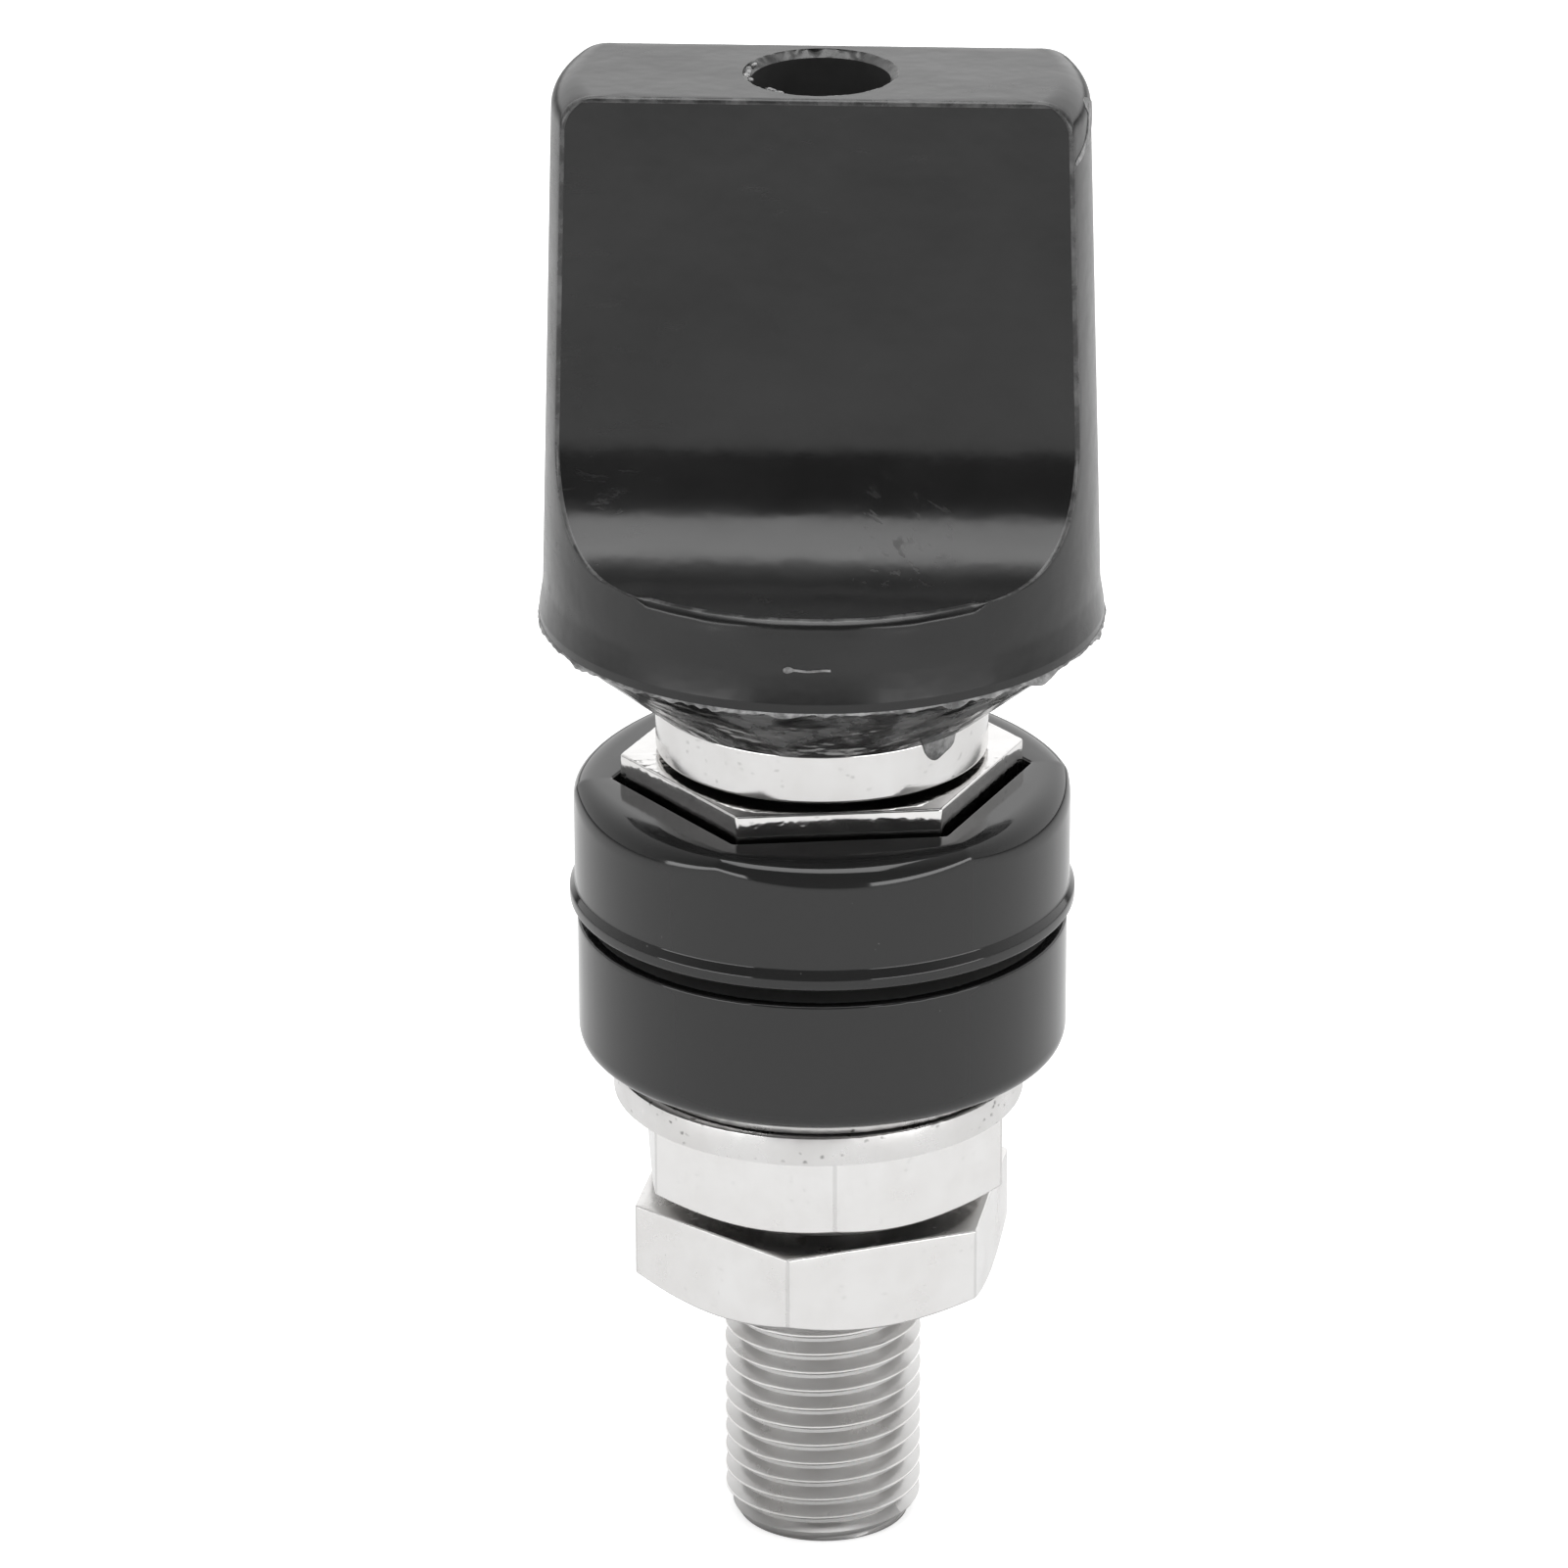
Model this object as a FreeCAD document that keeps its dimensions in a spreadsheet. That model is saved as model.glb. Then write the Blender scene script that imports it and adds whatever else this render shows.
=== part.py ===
import FreeCAD, Part
import math
import os
import Sketcher
from types import SimpleNamespace

# A panel binding post. A stud turned from hexagon bar passes through two plastic bushes that grip the panel
# between them. A screw-down knob with a metal bush in it clamps the wire on the stud's collar, and two thin
# nuts behind the panel hold the post and a cable lug.
# All sizes are in millimetres and degrees. The origin is the centre of the upper bush's underside, where the
# panel's front face lies. +Z points out of the panel, towards the knob. The knob's flat grip lies along X.

os.makedirs("parts", exist_ok=True)
doc = FreeCAD.newDocument("binding_post")
sheet = doc.addObject("Spreadsheet::Sheet", "sizes")

SQRT3 = math.sqrt(3)
RIGHT_ANGLE = 90.0
# Depth of an outside metric thread, as a share of its pitch
THREAD_DEPTH_SHARE = 0.6134
# How far a cutting outline runs past the piece that it cuts
OVERRUN = 1.0
# Lengths under this are nothing, and places nearer than this are the same
NOTHING = 1e-9
SAME_PLACE = 1e-4


class Size:
    """A length or angle held as a number, with the sheet formula that gives it."""

    def __init__(self, number, formula):
        self.number = number
        self.formula = formula

    def __add__(self, other):
        other = as_size(other)
        return Size(self.number + other.number, f"({self.formula} + {other.formula})")

    def __sub__(self, other):
        other = as_size(other)
        return Size(self.number - other.number, f"({self.formula} - {other.formula})")

    def __mul__(self, factor):
        return Size(self.number * factor, f"({self.formula} * {factor})")

    def __truediv__(self, factor):
        return Size(self.number / factor, f"({self.formula} / {factor})")

    def __neg__(self):
        return self * -1


def as_size(item):
    if isinstance(item, Size):
        return item
    return Size(float(item), str(float(item)))


# Driving dimensions
SIZES = {
    # Stud: one piece with its hexagon collar. The fine thread is smooth here, at its outer diameter.
    "thread_diameter": 9.8,
    "thread_pitch": 1.0,
    "hex_across_flats": 17.0,
    "collar_height": 3.2,
    "collar_turn": -21.7,
    "stud_upper_length": 8.4,
    "stud_free_length": 13.4,
    # Upper insulator
    "upper_radius": 12.08,
    "upper_height": 6.35,
    "shoulder_radius": 1.82,
    "bead_proud": 0.25,
    "bead_height": 0.5,
    "bead_blend": 0.35,
    "bead_edge_bevel": 0.12,
    "recess_depth": 1.95,
    "recess_clearance": 0.345,
    "spigot_radius": 7.5,
    "spigot_length": 5.5,
    "stud_hole_clearance": 0.25,
    # Lower insulator, which stands off the upper one by the gap where the panel belongs
    "panel_gap": 0.97,
    "lower_radius": 11.96,
    "lower_height": 6.67,
    "lower_edge_radius": 1.05,
    "spigot_clearance": 0.1,
    # Washers, loose on the stud. The thin one lies a little tilted and the thick one off centre.
    "washer_bore_clearance": 0.35,
    "washer_edge_bevel": 0.07,
    "thin_washer_radius": 9.68,
    "thin_washer_height": 0.97,
    "thin_washer_play": 0.055,
    "thin_washer_tilt": 0.28,
    "washer_gap": 0.09,
    "thick_washer_radius": 10.08,
    "thick_washer_height": 1.445,
    "thick_washer_shift": 0.2,
    # Nuts, both alike but for the way they are turned
    "nut_height": 4.65,
    "nut_face_radius": 8.05,
    "nut_gap": 0.55,
    "nut_countersink": 0.35,
    "panel_nut_turn": 6.3,
    "terminal_nut_turn": -7.3,
    "running_clearance": 0.03,
    # Threaded bush of the knob
    "rest_gap": 0.27,
    "bush_head_radius": 8.07,
    "bush_head_height": 2.5,
    "bush_edge_bevel": 0.15,
    "bush_shank_radius": 7.0,
    "bush_cap": 1.2,
    "bore_end_room": 0.5,
    # Knob
    "knob_play": 0.03,
    "knob_height": 31.41,
    "cone_foot_radius": 8.32,
    "cone_height": 4.32,
    "rim_radius": 13.42,
    "lip_proud": 0.2,
    "lip_height": 0.45,
    "lip_blend": 0.85,
    "knob_top_radius": 12.67,
    "knob_corner_radius": 1.55,
    "grip_top_half": 4.28,
    "grip_draft": 0.5,
    "scoop_floor_height": 8.83,
    "scoop_radius": 5.95,
    "top_hole_radius": 3.3,
    "top_hole_depth": 20.0,
    "top_hole_chamfer": 0.18,
}

for row, (name, number) in enumerate(SIZES.items(), start=1):
    sheet.set(f"A{row}", name)
    sheet.set(f"B{row}", str(number))
    sheet.setAlias(f"B{row}", name)
doc.recompute()
dim = SimpleNamespace(**{name: Size(number, f"sizes.{name}") for name, number in SIZES.items()})

# Levels on the post's axis and radii, all worked out from the driving dimensions
stud_radius = dim.thread_diameter / 2
thread_depth = dim.thread_pitch * THREAD_DEPTH_SHARE
collar_foot = dim.upper_height - dim.recess_depth
collar_top = collar_foot + dim.collar_height
lower_foot = -(dim.panel_gap + dim.lower_height)
thin_washer_foot = lower_foot - dim.thin_washer_play - dim.thin_washer_height
thick_washer_foot = thin_washer_foot - dim.washer_gap - dim.thick_washer_height
panel_nut_foot = thick_washer_foot - dim.nut_height
terminal_nut_foot = panel_nut_foot - dim.nut_gap - dim.nut_height
stud_end = terminal_nut_foot - dim.stud_free_length
stud_top = collar_top + dim.stud_upper_length
bush_foot = collar_top + dim.rest_gap
bush_bore_depth = dim.stud_upper_length - dim.rest_gap + dim.bore_end_room
bush_height = bush_bore_depth + dim.bush_cap
knob_foot = bush_foot + dim.bush_head_height + dim.knob_play


def new_body(name, level):
    """A body that bears its node's name and stands at a level on the post's axis."""
    body = doc.addObject("PartDesign::Body", name)
    body.Label = name
    body.setExpression("Placement.Base.z", as_size(level).formula)
    return body


def turn_body(body, angle):
    body.setExpression("Placement.Rotation.Angle", angle.formula)


def origin_plane(body, role):
    return next(feature for feature in body.Origin.OriginFeatures if feature.Role == role)


def new_sketch(body, name, role, level=0, turn=None):
    """A sketch on one of the body's origin planes, raised to a level and turned if asked."""
    sketch = body.newObject("Sketcher::SketchObject", name)
    sketch.AttachmentSupport = [(origin_plane(body, role), "")]
    sketch.MapMode = "FlatFace"
    sketch.setExpression("AttachmentOffset.Base.z", as_size(level).formula)
    if turn:
        sketch.setExpression("AttachmentOffset.Rotation.Angle", turn.formula)
    return sketch


def bind(sketch, kind, line, end, size):
    """Hold one coordinate of the start or end of a line at a size."""
    size = as_size(size)
    if abs(size.number) < NOTHING:
        axis = -2 if kind == "DistanceX" else -1
        sketch.addConstraint(Sketcher.Constraint("PointOnObject", line, end, axis))
        return
    constraint = Sketcher.Constraint(kind, -1, 1, line, end, size.number)
    index = sketch.addConstraint(constraint)
    sketch.setExpression(f"Constraints[{index}]", size.formula)


def point(x, y):
    return FreeCAD.Vector(as_size(x).number, as_size(y).number, 0)


def closed_outline(sketch, corners):
    """Straight sides through the corners, each of them held by the sheet."""
    count = len(corners)
    for i, corner in enumerate(corners):
        following = corners[(i + 1) % count]
        sketch.addGeometry(Part.LineSegment(point(*corner), point(*following)), False)
    for i, (x, y) in enumerate(corners):
        sketch.addConstraint(Sketcher.Constraint("Coincident", i, 2, (i + 1) % count, 1))
        bind(sketch, "DistanceX", i, 1, x)
        bind(sketch, "DistanceY", i, 1, y)


def hexagon(sketch, across_flats):
    """A hexagon with two of its corners on the sketch's vertical axis."""
    flat = across_flats / 2
    tip = across_flats / SQRT3
    side = tip / 2
    closed_outline(sketch, [(0, tip), (-flat, side), (-flat, -side), (0, -tip), (flat, -side), (flat, side)])


def circle(sketch, radius):
    centre = FreeCAD.Vector(0, 0, 0)
    sketch.addGeometry(Part.Circle(centre, FreeCAD.Vector(0, 0, 1), radius.number), False)
    sketch.addConstraint(Sketcher.Constraint("Coincident", 0, 3, -1, 1))
    index = sketch.addConstraint(Sketcher.Constraint("Radius", 0, radius.number))
    sketch.setExpression(f"Constraints[{index}]", radius.formula)


def finish(body, feature, cuts):
    """Rebuild, and make sure that a cut took material away and that anything else added some."""
    before = 0 if body.Shape.isNull() else body.Shape.Volume
    doc.recompute()
    after = body.Shape.Volume
    if cuts and after >= before or not cuts and after <= before:
        raise RuntimeError(f"{body.Label} {feature.Name} had no effect")
    return feature


def turned(body, name, corners, kind="PartDesign::Revolution"):
    """A full turn of an outline, drawn as radius and height, about the post's axis."""
    sketch = new_sketch(body, name + "_profile", "XZ_Plane")
    closed_outline(sketch, corners)
    feature = body.newObject(kind, name)
    feature.Profile = sketch
    feature.ReferenceAxis = (sketch, ["V_Axis"])
    feature.Angle = 360
    return finish(body, feature, kind == "PartDesign::Groove")


def turned_cut(body, name, corners):
    return turned(body, name, corners, "PartDesign::Groove")


def tube(body, name, inner, outer, foot, top):
    return turned(body, name, [(inner, foot), (outer, foot), (outer, top), (inner, top)])


def pad(body, name, sketch, length):
    feature = body.newObject("PartDesign::Pad", name)
    feature.Profile = sketch
    feature.setExpression("Length", length.formula)
    return finish(body, feature, False)


def pocket(body, name, sketch, depth, upwards=False):
    """A pocket that runs down from its sketch, or up."""
    feature = body.newObject("PartDesign::Pocket", name)
    feature.Profile = sketch
    feature.setExpression("Length", depth.formula)
    feature.Reversed = upwards
    return finish(body, feature, True)


def rings(body, radius, level):
    """Names of the round edges of one radius at one level above the body's foot."""
    names = []
    for i, edge in enumerate(body.Tip.Shape.Edges, start=1):
        if not isinstance(edge.Curve, Part.Circle):
            continue
        off_radius = abs(edge.Curve.Radius - as_size(radius).number)
        off_level = abs(edge.Curve.Center.z - as_size(level).number)
        if max(off_radius, off_level) < SAME_PLACE:
            names.append(f"Edge{i}")
    return names


def dress(body, kind, name, edges, size):
    """Round or bevel edges of the body as it stands."""
    base = body.Tip
    feature = body.newObject(kind, name)
    feature.Base = (base, edges)
    word = "Radius" if kind == "PartDesign::Fillet" else "Size"
    feature.setExpression(word, size.formula)
    return finish(body, feature, True)


def rounded(body, name, places, size):
    edges = [edge for radius, level in places for edge in rings(body, radius, level)]
    return dress(body, "PartDesign::Fillet", name, edges, size)


def bevelled(body, name, places, size):
    edges = [edge for radius, level in places for edge in rings(body, radius, level)]
    return dress(body, "PartDesign::Chamfer", name, edges, size)


def make_stud():
    """Round bar with the thread's crests as its surface, a bevel at each end and a hexagon collar."""
    body = new_body("stud", stud_end)
    length = stud_top - stud_end
    tube(body, "bar", 0, stud_radius, 0, length)
    bevelled(body, "end_bevels", [(stud_radius, 0), (stud_radius, length)], thread_depth)
    sketch = new_sketch(body, "collar_hexagon", "XY_Plane", collar_foot - stud_end)
    hexagon(sketch, dim.hex_across_flats)
    pad(body, "collar", sketch, dim.collar_height)
    turn_body(body, dim.collar_turn)
    return body


def make_upper_insulator():
    """Bush with a beaded foot, a rounded shoulder, a spigot below and a hexagon recess on top."""
    body = new_body("upper_insulator", 0)
    hole_radius = stud_radius + dim.stud_hole_clearance
    bead_radius = dim.upper_radius + dim.bead_proud
    turned(body, "bush", [
        (hole_radius, -dim.spigot_length),
        (dim.spigot_radius, -dim.spigot_length),
        (dim.spigot_radius, 0),
        (bead_radius, 0),
        (bead_radius, dim.bead_height),
        (dim.upper_radius, dim.bead_height + dim.bead_blend),
        (dim.upper_radius, dim.upper_height),
        (hole_radius, dim.upper_height),
    ])
    rounded(body, "shoulder", [(dim.upper_radius, dim.upper_height)], dim.shoulder_radius)
    bead_edges = [(bead_radius, 0), (bead_radius, dim.bead_height)]
    bevelled(body, "bead_edges", bead_edges, dim.bead_edge_bevel)
    sketch = new_sketch(body, "recess_hexagon", "XY_Plane", dim.upper_height, dim.collar_turn)
    hexagon(sketch, dim.hex_across_flats + dim.recess_clearance * 2)
    pocket(body, "recess", sketch, dim.recess_depth)
    return body


def make_lower_insulator():
    """Plain bush with a rounded lower edge and a counterbore that the spigot bottoms in."""
    body = new_body("lower_insulator", lower_foot)
    hole_radius = stud_radius + dim.stud_hole_clearance
    tube(body, "bush", hole_radius, dim.lower_radius, 0, dim.lower_height)
    rounded(body, "lower_edge", [(dim.lower_radius, 0)], dim.lower_edge_radius)
    sketch = new_sketch(body, "counterbore_circle", "XY_Plane", dim.lower_height)
    circle(sketch, dim.spigot_radius + dim.spigot_clearance)
    pocket(body, "counterbore", sketch, dim.spigot_length - dim.panel_gap)
    return body


def make_washer(name, foot, radius, height):
    body = new_body(name, foot)
    tube(body, "ring", stud_radius + dim.washer_bore_clearance, radius, 0, height)
    bevelled(body, "outer_edges", [(radius, 0), (radius, height)], dim.washer_edge_bevel)
    return body


def make_thin_washer():
    body = make_washer("thin_washer", thin_washer_foot, dim.thin_washer_radius, dim.thin_washer_height)
    body.Placement.Rotation = FreeCAD.Rotation(FreeCAD.Vector(0, -1, 0), dim.thin_washer_tilt.number)
    turn_body(body, dim.thin_washer_tilt)
    return body


def make_thick_washer():
    body = make_washer("thick_washer", thick_washer_foot, dim.thick_washer_radius, dim.thick_washer_height)
    body.setExpression("Placement.Base.x", (-dim.thick_washer_shift).formula)
    return body


def make_nut(name, foot, turn):
    """Thin hexagon nut, bevelled to a round face below, with a countersunk bore."""
    body = new_body(name, foot)
    sketch = new_sketch(body, "nut_hexagon", "XY_Plane")
    hexagon(sketch, dim.hex_across_flats)
    pad(body, "prism", sketch, dim.nut_height)
    reach = dim.hex_across_flats / SQRT3 - dim.nut_face_radius + OVERRUN
    turned_cut(body, "corner_bevels", [
        (dim.nut_face_radius, 0),
        (dim.nut_face_radius + reach, 0),
        (dim.nut_face_radius + reach, reach / SQRT3),
    ])
    bore_radius = stud_radius + dim.running_clearance
    sketch = new_sketch(body, "bore_circle", "XY_Plane", dim.nut_height)
    circle(sketch, bore_radius)
    pocket(body, "bore", sketch, dim.nut_height)
    bevelled(body, "countersinks", [(bore_radius, 0), (bore_radius, dim.nut_height)], dim.nut_countersink)
    turn_body(body, turn)
    return body


def make_knob_insert():
    """Flanged bush with a blind bore for the stud's upper end."""
    body = new_body("knob_insert", bush_foot)
    turned(body, "bush", [
        (0, bush_bore_depth),
        (stud_radius + dim.running_clearance, bush_bore_depth),
        (stud_radius + dim.running_clearance, 0),
        (dim.bush_head_radius, 0),
        (dim.bush_head_radius, dim.bush_head_height),
        (dim.bush_shank_radius, dim.bush_head_height),
        (dim.bush_shank_radius, bush_height),
        (0, bush_height),
    ])
    head_edges = [(dim.bush_head_radius, 0), (dim.bush_head_radius, dim.bush_head_height)]
    bevelled(body, "head_edges", head_edges, dim.bush_edge_bevel)
    bevelled(body, "bore_lead", [(stud_radius + dim.running_clearance, 0)], dim.nut_countersink)
    return body


def scoop_outline(sketch):
    """The side view of one finger scoop: a flat floor, a hollow corner and the grip's drafted face."""
    far = dim.rim_radius + dim.knob_top_radius
    high = dim.knob_height + OVERRUN
    draft = math.radians(dim.grip_draft.number)
    centre_y = dim.scoop_floor_height + dim.scoop_radius
    face_x = dim.grip_top_half.number + (dim.knob_height - centre_y).number * math.tan(draft)
    centre = FreeCAD.Vector(face_x + dim.scoop_radius.number / math.cos(draft), centre_y.number, 0)
    hollow = Part.Circle(centre, FreeCAD.Vector(0, 0, 1), dim.scoop_radius.number)
    arc = Part.ArcOfCircle(hollow, math.pi + draft, 1.5 * math.pi)
    face_top = point(dim.grip_top_half, dim.knob_height)
    sketch.addGeometry(arc, False)
    sketch.addGeometry(Part.LineSegment(arc.StartPoint, face_top), False)
    sketch.addGeometry(Part.LineSegment(face_top, point(dim.grip_top_half, high)), False)
    sketch.addGeometry(Part.LineSegment(point(dim.grip_top_half, high), point(far, high)), False)
    sketch.addGeometry(Part.LineSegment(point(far, high), point(far, dim.scoop_floor_height)), False)
    sketch.addGeometry(Part.LineSegment(point(far, dim.scoop_floor_height), arc.EndPoint), False)
    sketch.addConstraint(Sketcher.Constraint("Tangent", 0, 1, 1, 1))
    sketch.addConstraint(Sketcher.Constraint("Tangent", 5, 2, 0, 2))
    for line in (1, 2, 3, 4):
        sketch.addConstraint(Sketcher.Constraint("Coincident", line, 2, line + 1, 1))
    sketch.addConstraint(Sketcher.Constraint("Vertical", 2))
    sketch.addConstraint(Sketcher.Constraint("Horizontal", 3))
    sketch.addConstraint(Sketcher.Constraint("Vertical", 4))
    sketch.addConstraint(Sketcher.Constraint("Horizontal", 5))
    bind(sketch, "DistanceX", 2, 1, dim.grip_top_half)
    bind(sketch, "DistanceY", 2, 1, dim.knob_height)
    bind(sketch, "DistanceX", 4, 1, far)
    bind(sketch, "DistanceY", 4, 1, high)
    bind(sketch, "DistanceY", 5, 1, dim.scoop_floor_height)
    index = sketch.addConstraint(Sketcher.Constraint("Radius", 0, dim.scoop_radius.number))
    sketch.setExpression(f"Constraints[{index}]", dim.scoop_radius.formula)
    index = sketch.addConstraint(Sketcher.Constraint("Angle", 1, 0.5 * math.pi + draft))
    sketch.setExpression(f"Constraints[{index}]", (as_size(RIGHT_ANGLE) + dim.grip_draft).formula)


def make_knob():
    """Tapered round knob, scooped away in front and behind to a flat grip, with a cone beneath."""
    body = new_body("knob", knob_foot)
    lip_radius = dim.rim_radius + dim.lip_proud
    turned(body, "blank", [
        (0, 0),
        (dim.cone_foot_radius, 0),
        (lip_radius, dim.cone_height),
        (lip_radius, dim.cone_height + dim.lip_height),
        (dim.rim_radius, dim.cone_height + dim.lip_height + dim.lip_blend),
        (dim.knob_top_radius, dim.knob_height),
        (0, dim.knob_height),
    ])
    rounded(body, "top_corner", [(dim.knob_top_radius, dim.knob_height)], dim.knob_corner_radius)

    sketch = new_sketch(body, "scoop_profile", "YZ_Plane")
    scoop_outline(sketch)
    scoop = body.newObject("PartDesign::Pocket", "scoop")
    scoop.Profile = sketch
    scoop.SideType = "Symmetric"
    scoop.Type = "ThroughAll"
    finish(body, scoop, True)
    mirror = body.newObject("PartDesign::Mirrored", "scoop_behind")
    mirror.Originals = [scoop]
    mirror.MirrorPlane = (origin_plane(body, "XZ_Plane"), [""])
    body.Tip = mirror
    finish(body, mirror, True)

    sketch = new_sketch(body, "top_hole_circle", "XY_Plane", dim.knob_height)
    circle(sketch, dim.top_hole_radius)
    pocket(body, "top_hole", sketch, dim.top_hole_depth)
    bevelled(body, "top_hole_mouth", [(dim.top_hole_radius, dim.knob_height)], dim.top_hole_chamfer)

    sketch = new_sketch(body, "bush_seat_circle", "XY_Plane")
    circle(sketch, dim.bush_shank_radius + dim.running_clearance)
    pocket(body, "bush_seat", sketch, bush_height - dim.bush_head_height, upwards=True)
    return body


pieces = [
    make_stud(),
    make_upper_insulator(),
    make_lower_insulator(),
    make_thin_washer(),
    make_thick_washer(),
    make_nut("panel_nut", panel_nut_foot, dim.panel_nut_turn),
    make_nut("terminal_nut", terminal_nut_foot, dim.terminal_nut_turn),
    make_knob_insert(),
    make_knob(),
]
doc.recompute()

for item in doc.Objects:
    if "Invalid" in item.State or "Error" in item.State:
        raise RuntimeError(f"{item.Label} is in state {item.State}")
for piece in pieces:
    if piece.Shape.isNull() or not piece.Shape.isValid() or len(piece.Shape.Solids) != 1:
        raise RuntimeError(f"{piece.Label} is not one valid solid")
for piece in pieces:
    piece.Shape.exportStep(f"parts/{piece.Label}.step")
    box = piece.Shape.BoundBox
    print(f"{piece.Label}: z {box.ZMin:.3f} to {box.ZMax:.3f}, volume {piece.Shape.Volume:.1f}")
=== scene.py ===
import math

import bmesh
import bpy
from mathutils import Matrix, Vector, noise


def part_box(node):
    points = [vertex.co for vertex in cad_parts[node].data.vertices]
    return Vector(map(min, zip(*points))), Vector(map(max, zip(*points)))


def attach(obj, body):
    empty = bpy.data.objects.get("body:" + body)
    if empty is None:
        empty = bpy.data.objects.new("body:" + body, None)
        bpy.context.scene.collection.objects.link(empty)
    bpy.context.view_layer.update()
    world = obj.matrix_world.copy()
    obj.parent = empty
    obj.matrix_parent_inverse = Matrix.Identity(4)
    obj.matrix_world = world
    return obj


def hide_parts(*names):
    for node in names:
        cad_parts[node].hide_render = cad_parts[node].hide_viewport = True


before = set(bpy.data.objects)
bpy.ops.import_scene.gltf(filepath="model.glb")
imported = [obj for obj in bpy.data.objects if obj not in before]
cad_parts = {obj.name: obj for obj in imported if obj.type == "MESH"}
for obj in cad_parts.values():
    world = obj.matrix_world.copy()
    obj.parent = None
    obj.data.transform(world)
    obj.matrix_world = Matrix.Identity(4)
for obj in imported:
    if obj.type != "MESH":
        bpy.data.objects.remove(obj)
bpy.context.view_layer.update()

# A panel binding post: a black knob with a flat grip on a nickel-plated stud, two glossy black bushes, two
# washers and two thin nuts. Lengths here are millimetres on the post's axis and radii from it, turned into
# metres where a mesh is made. Angles are degrees from +X towards +Y.
MM = 0.001


def levels_of(node):
    """The lowest and the highest level of a CAD node, in millimetres."""
    low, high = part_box(node)
    return low.z / MM, high.z / MM


def reach_of(node):
    """Half the width of a CAD node along X, in millimetres."""
    low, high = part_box(node)
    return (high.x - low.x) / 2 / MM


# Thread. The flats and the edge rounding are shares of a pitch, and one crest has this level on the +X side.
THREAD_RADIUS = 4.9
THREAD_PITCH = 1.0
THREAD_DEPTH = 0.6134 * THREAD_PITCH
CREST_FLAT = 0.085
ROOT_FLAT = 0.2
THREAD_EDGE = 0.012
CREST_LEVEL = 0.42
THREAD_COLUMNS = 144

# Stud's ends: the flat's radius, how fast it widens away from the end, and how far up the plate is dull and
# darker, its darker tone being painted shade
END_RADIUS = 4.25
END_BEVEL = 0.62
DULL_SHADED_END = 1.0

# Hexagons: the size of all three, the columns of points over a corner and the degrees that they span, the
# angle that side 0 of each faces, and the collar's height and its recess
ACROSS_FLATS = 17.0
HEXAGON_EDGE = 0.15
CORNER_COLUMNS = 5
CORNER_WIDTH = 2.0
COLLAR_TURN = -21.7
PANEL_NUT_TURN = 6.3
TERMINAL_NUT_TURN = -7.3
COLLAR_HEIGHT = 3.2
RECESS_DEPTH = 1.95
RECESS_CLEARANCE = 0.345
RUNNING_CLEARANCE = 0.03

# A worn edge has a ring of points this far below it and one this far inside it, which keep the wear local
RING_DROP = 0.4
RING_INSET = 0.5

# Plastic bushes
UPPER_RADIUS = 12.08
SHOULDER_RADIUS = 1.82
SPIGOT_RADIUS = 7.5
STUD_HOLE_RADIUS = 5.15
LOWER_EDGE_RADIUS = 1.05
BEAD_LEVEL = 0.55
BEAD_TOP = 0.95
COUNTERBORE_RADIUS = SPIGOT_RADIUS + 0.1

# Washers and nuts
WASHER_BORE_RADIUS = 5.25
WASHER_EDGE = 0.04
THIN_WASHER_HEIGHT = 0.97
THIN_WASHER_TILT = 0.28
NUT_FACE_RADIUS = 8.05
NUT_COUNTERSINK = 0.35
NUT_CHAMFER = 30

# Knob
KNOB_TOP_RADIUS = 12.67
KNOB_CORNER_RADIUS = 1.55
RIM_RADIUS = 13.42
LIP_HEIGHT = 0.45
LIP_BLEND = 1.25
CONE_HEIGHT = 4.32
CONE_FOOT_RADIUS = 8.32
GRIP_TOP_HALF = 4.28
GRIP_DRAFT = 0.5
SCOOP_FLOOR_HEIGHT = 8.83
SCOOP_RADIUS = 5.95
TOP_HOLE_RADIUS = 3.3
TOP_HOLE_DEPTH = 20.0

# The metal bush in the knob, and the room between its bore's end and the stud
BUSH_HEIGHT = 9.83
BUSH_HEAD_HEIGHT = 2.5
BUSH_SHANK_RADIUS = 7.0
BORE_END_ROOM = 0.5

# Roundings of the grip's and the drum's edges. The grip's is wider by the swell on the top corner, and the
# drum's has a thin flat ring beside it on both sides.
KNOB_EDGE = 0.19
CORNER_SWELL = 0.5
DRUM_EDGE = 0.45
DRUM_MARGIN = 0.05

# Chips round the top hole's mouth as (angle, spread, depth), the wear between them, and the mouth's rounding
CHIPS = [(176, 20, 0.3), (236, 12, 0.2), (95, 45, 0.1)]
CHIP_ALL_ROUND = 0.05
MOUTH_WIDTH = 0.34
MOUTH_DEPTH = 0.34

# Flash and the scrape: where each starts, in degrees to the right of the camera's side, and how far it spans
TONGUE_START, TONGUE_SPAN, TONGUE_LENGTH = 36, 16, 1.05
FLAKE_START, FLAKE_SPAN, FLAKE_RADIUS, FLAKE_WIDTH = 49, 9, 12.5, 0.75
SCRAPE_START, SCRAPE_SPAN, SCRAPE_LEVEL, SCRAPE_HALF = -8, 9.5, 16.83, 0.05

# The sliver of flash as (level, angle where it starts, angle where it ends) to the right of the camera's side
SLIVER = [(38.7, 68.5, 69.5), (38.8, 68, 72.5), (38.95, 69.5, 76), (39.1, 72, 79), (39.3, 75, 82),
          (39.6, 77.5, 85), (39.9, 79, 88), (40.4, 80, 89), (40.8, 79, 86), (41.1, 80, 82)]

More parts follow.
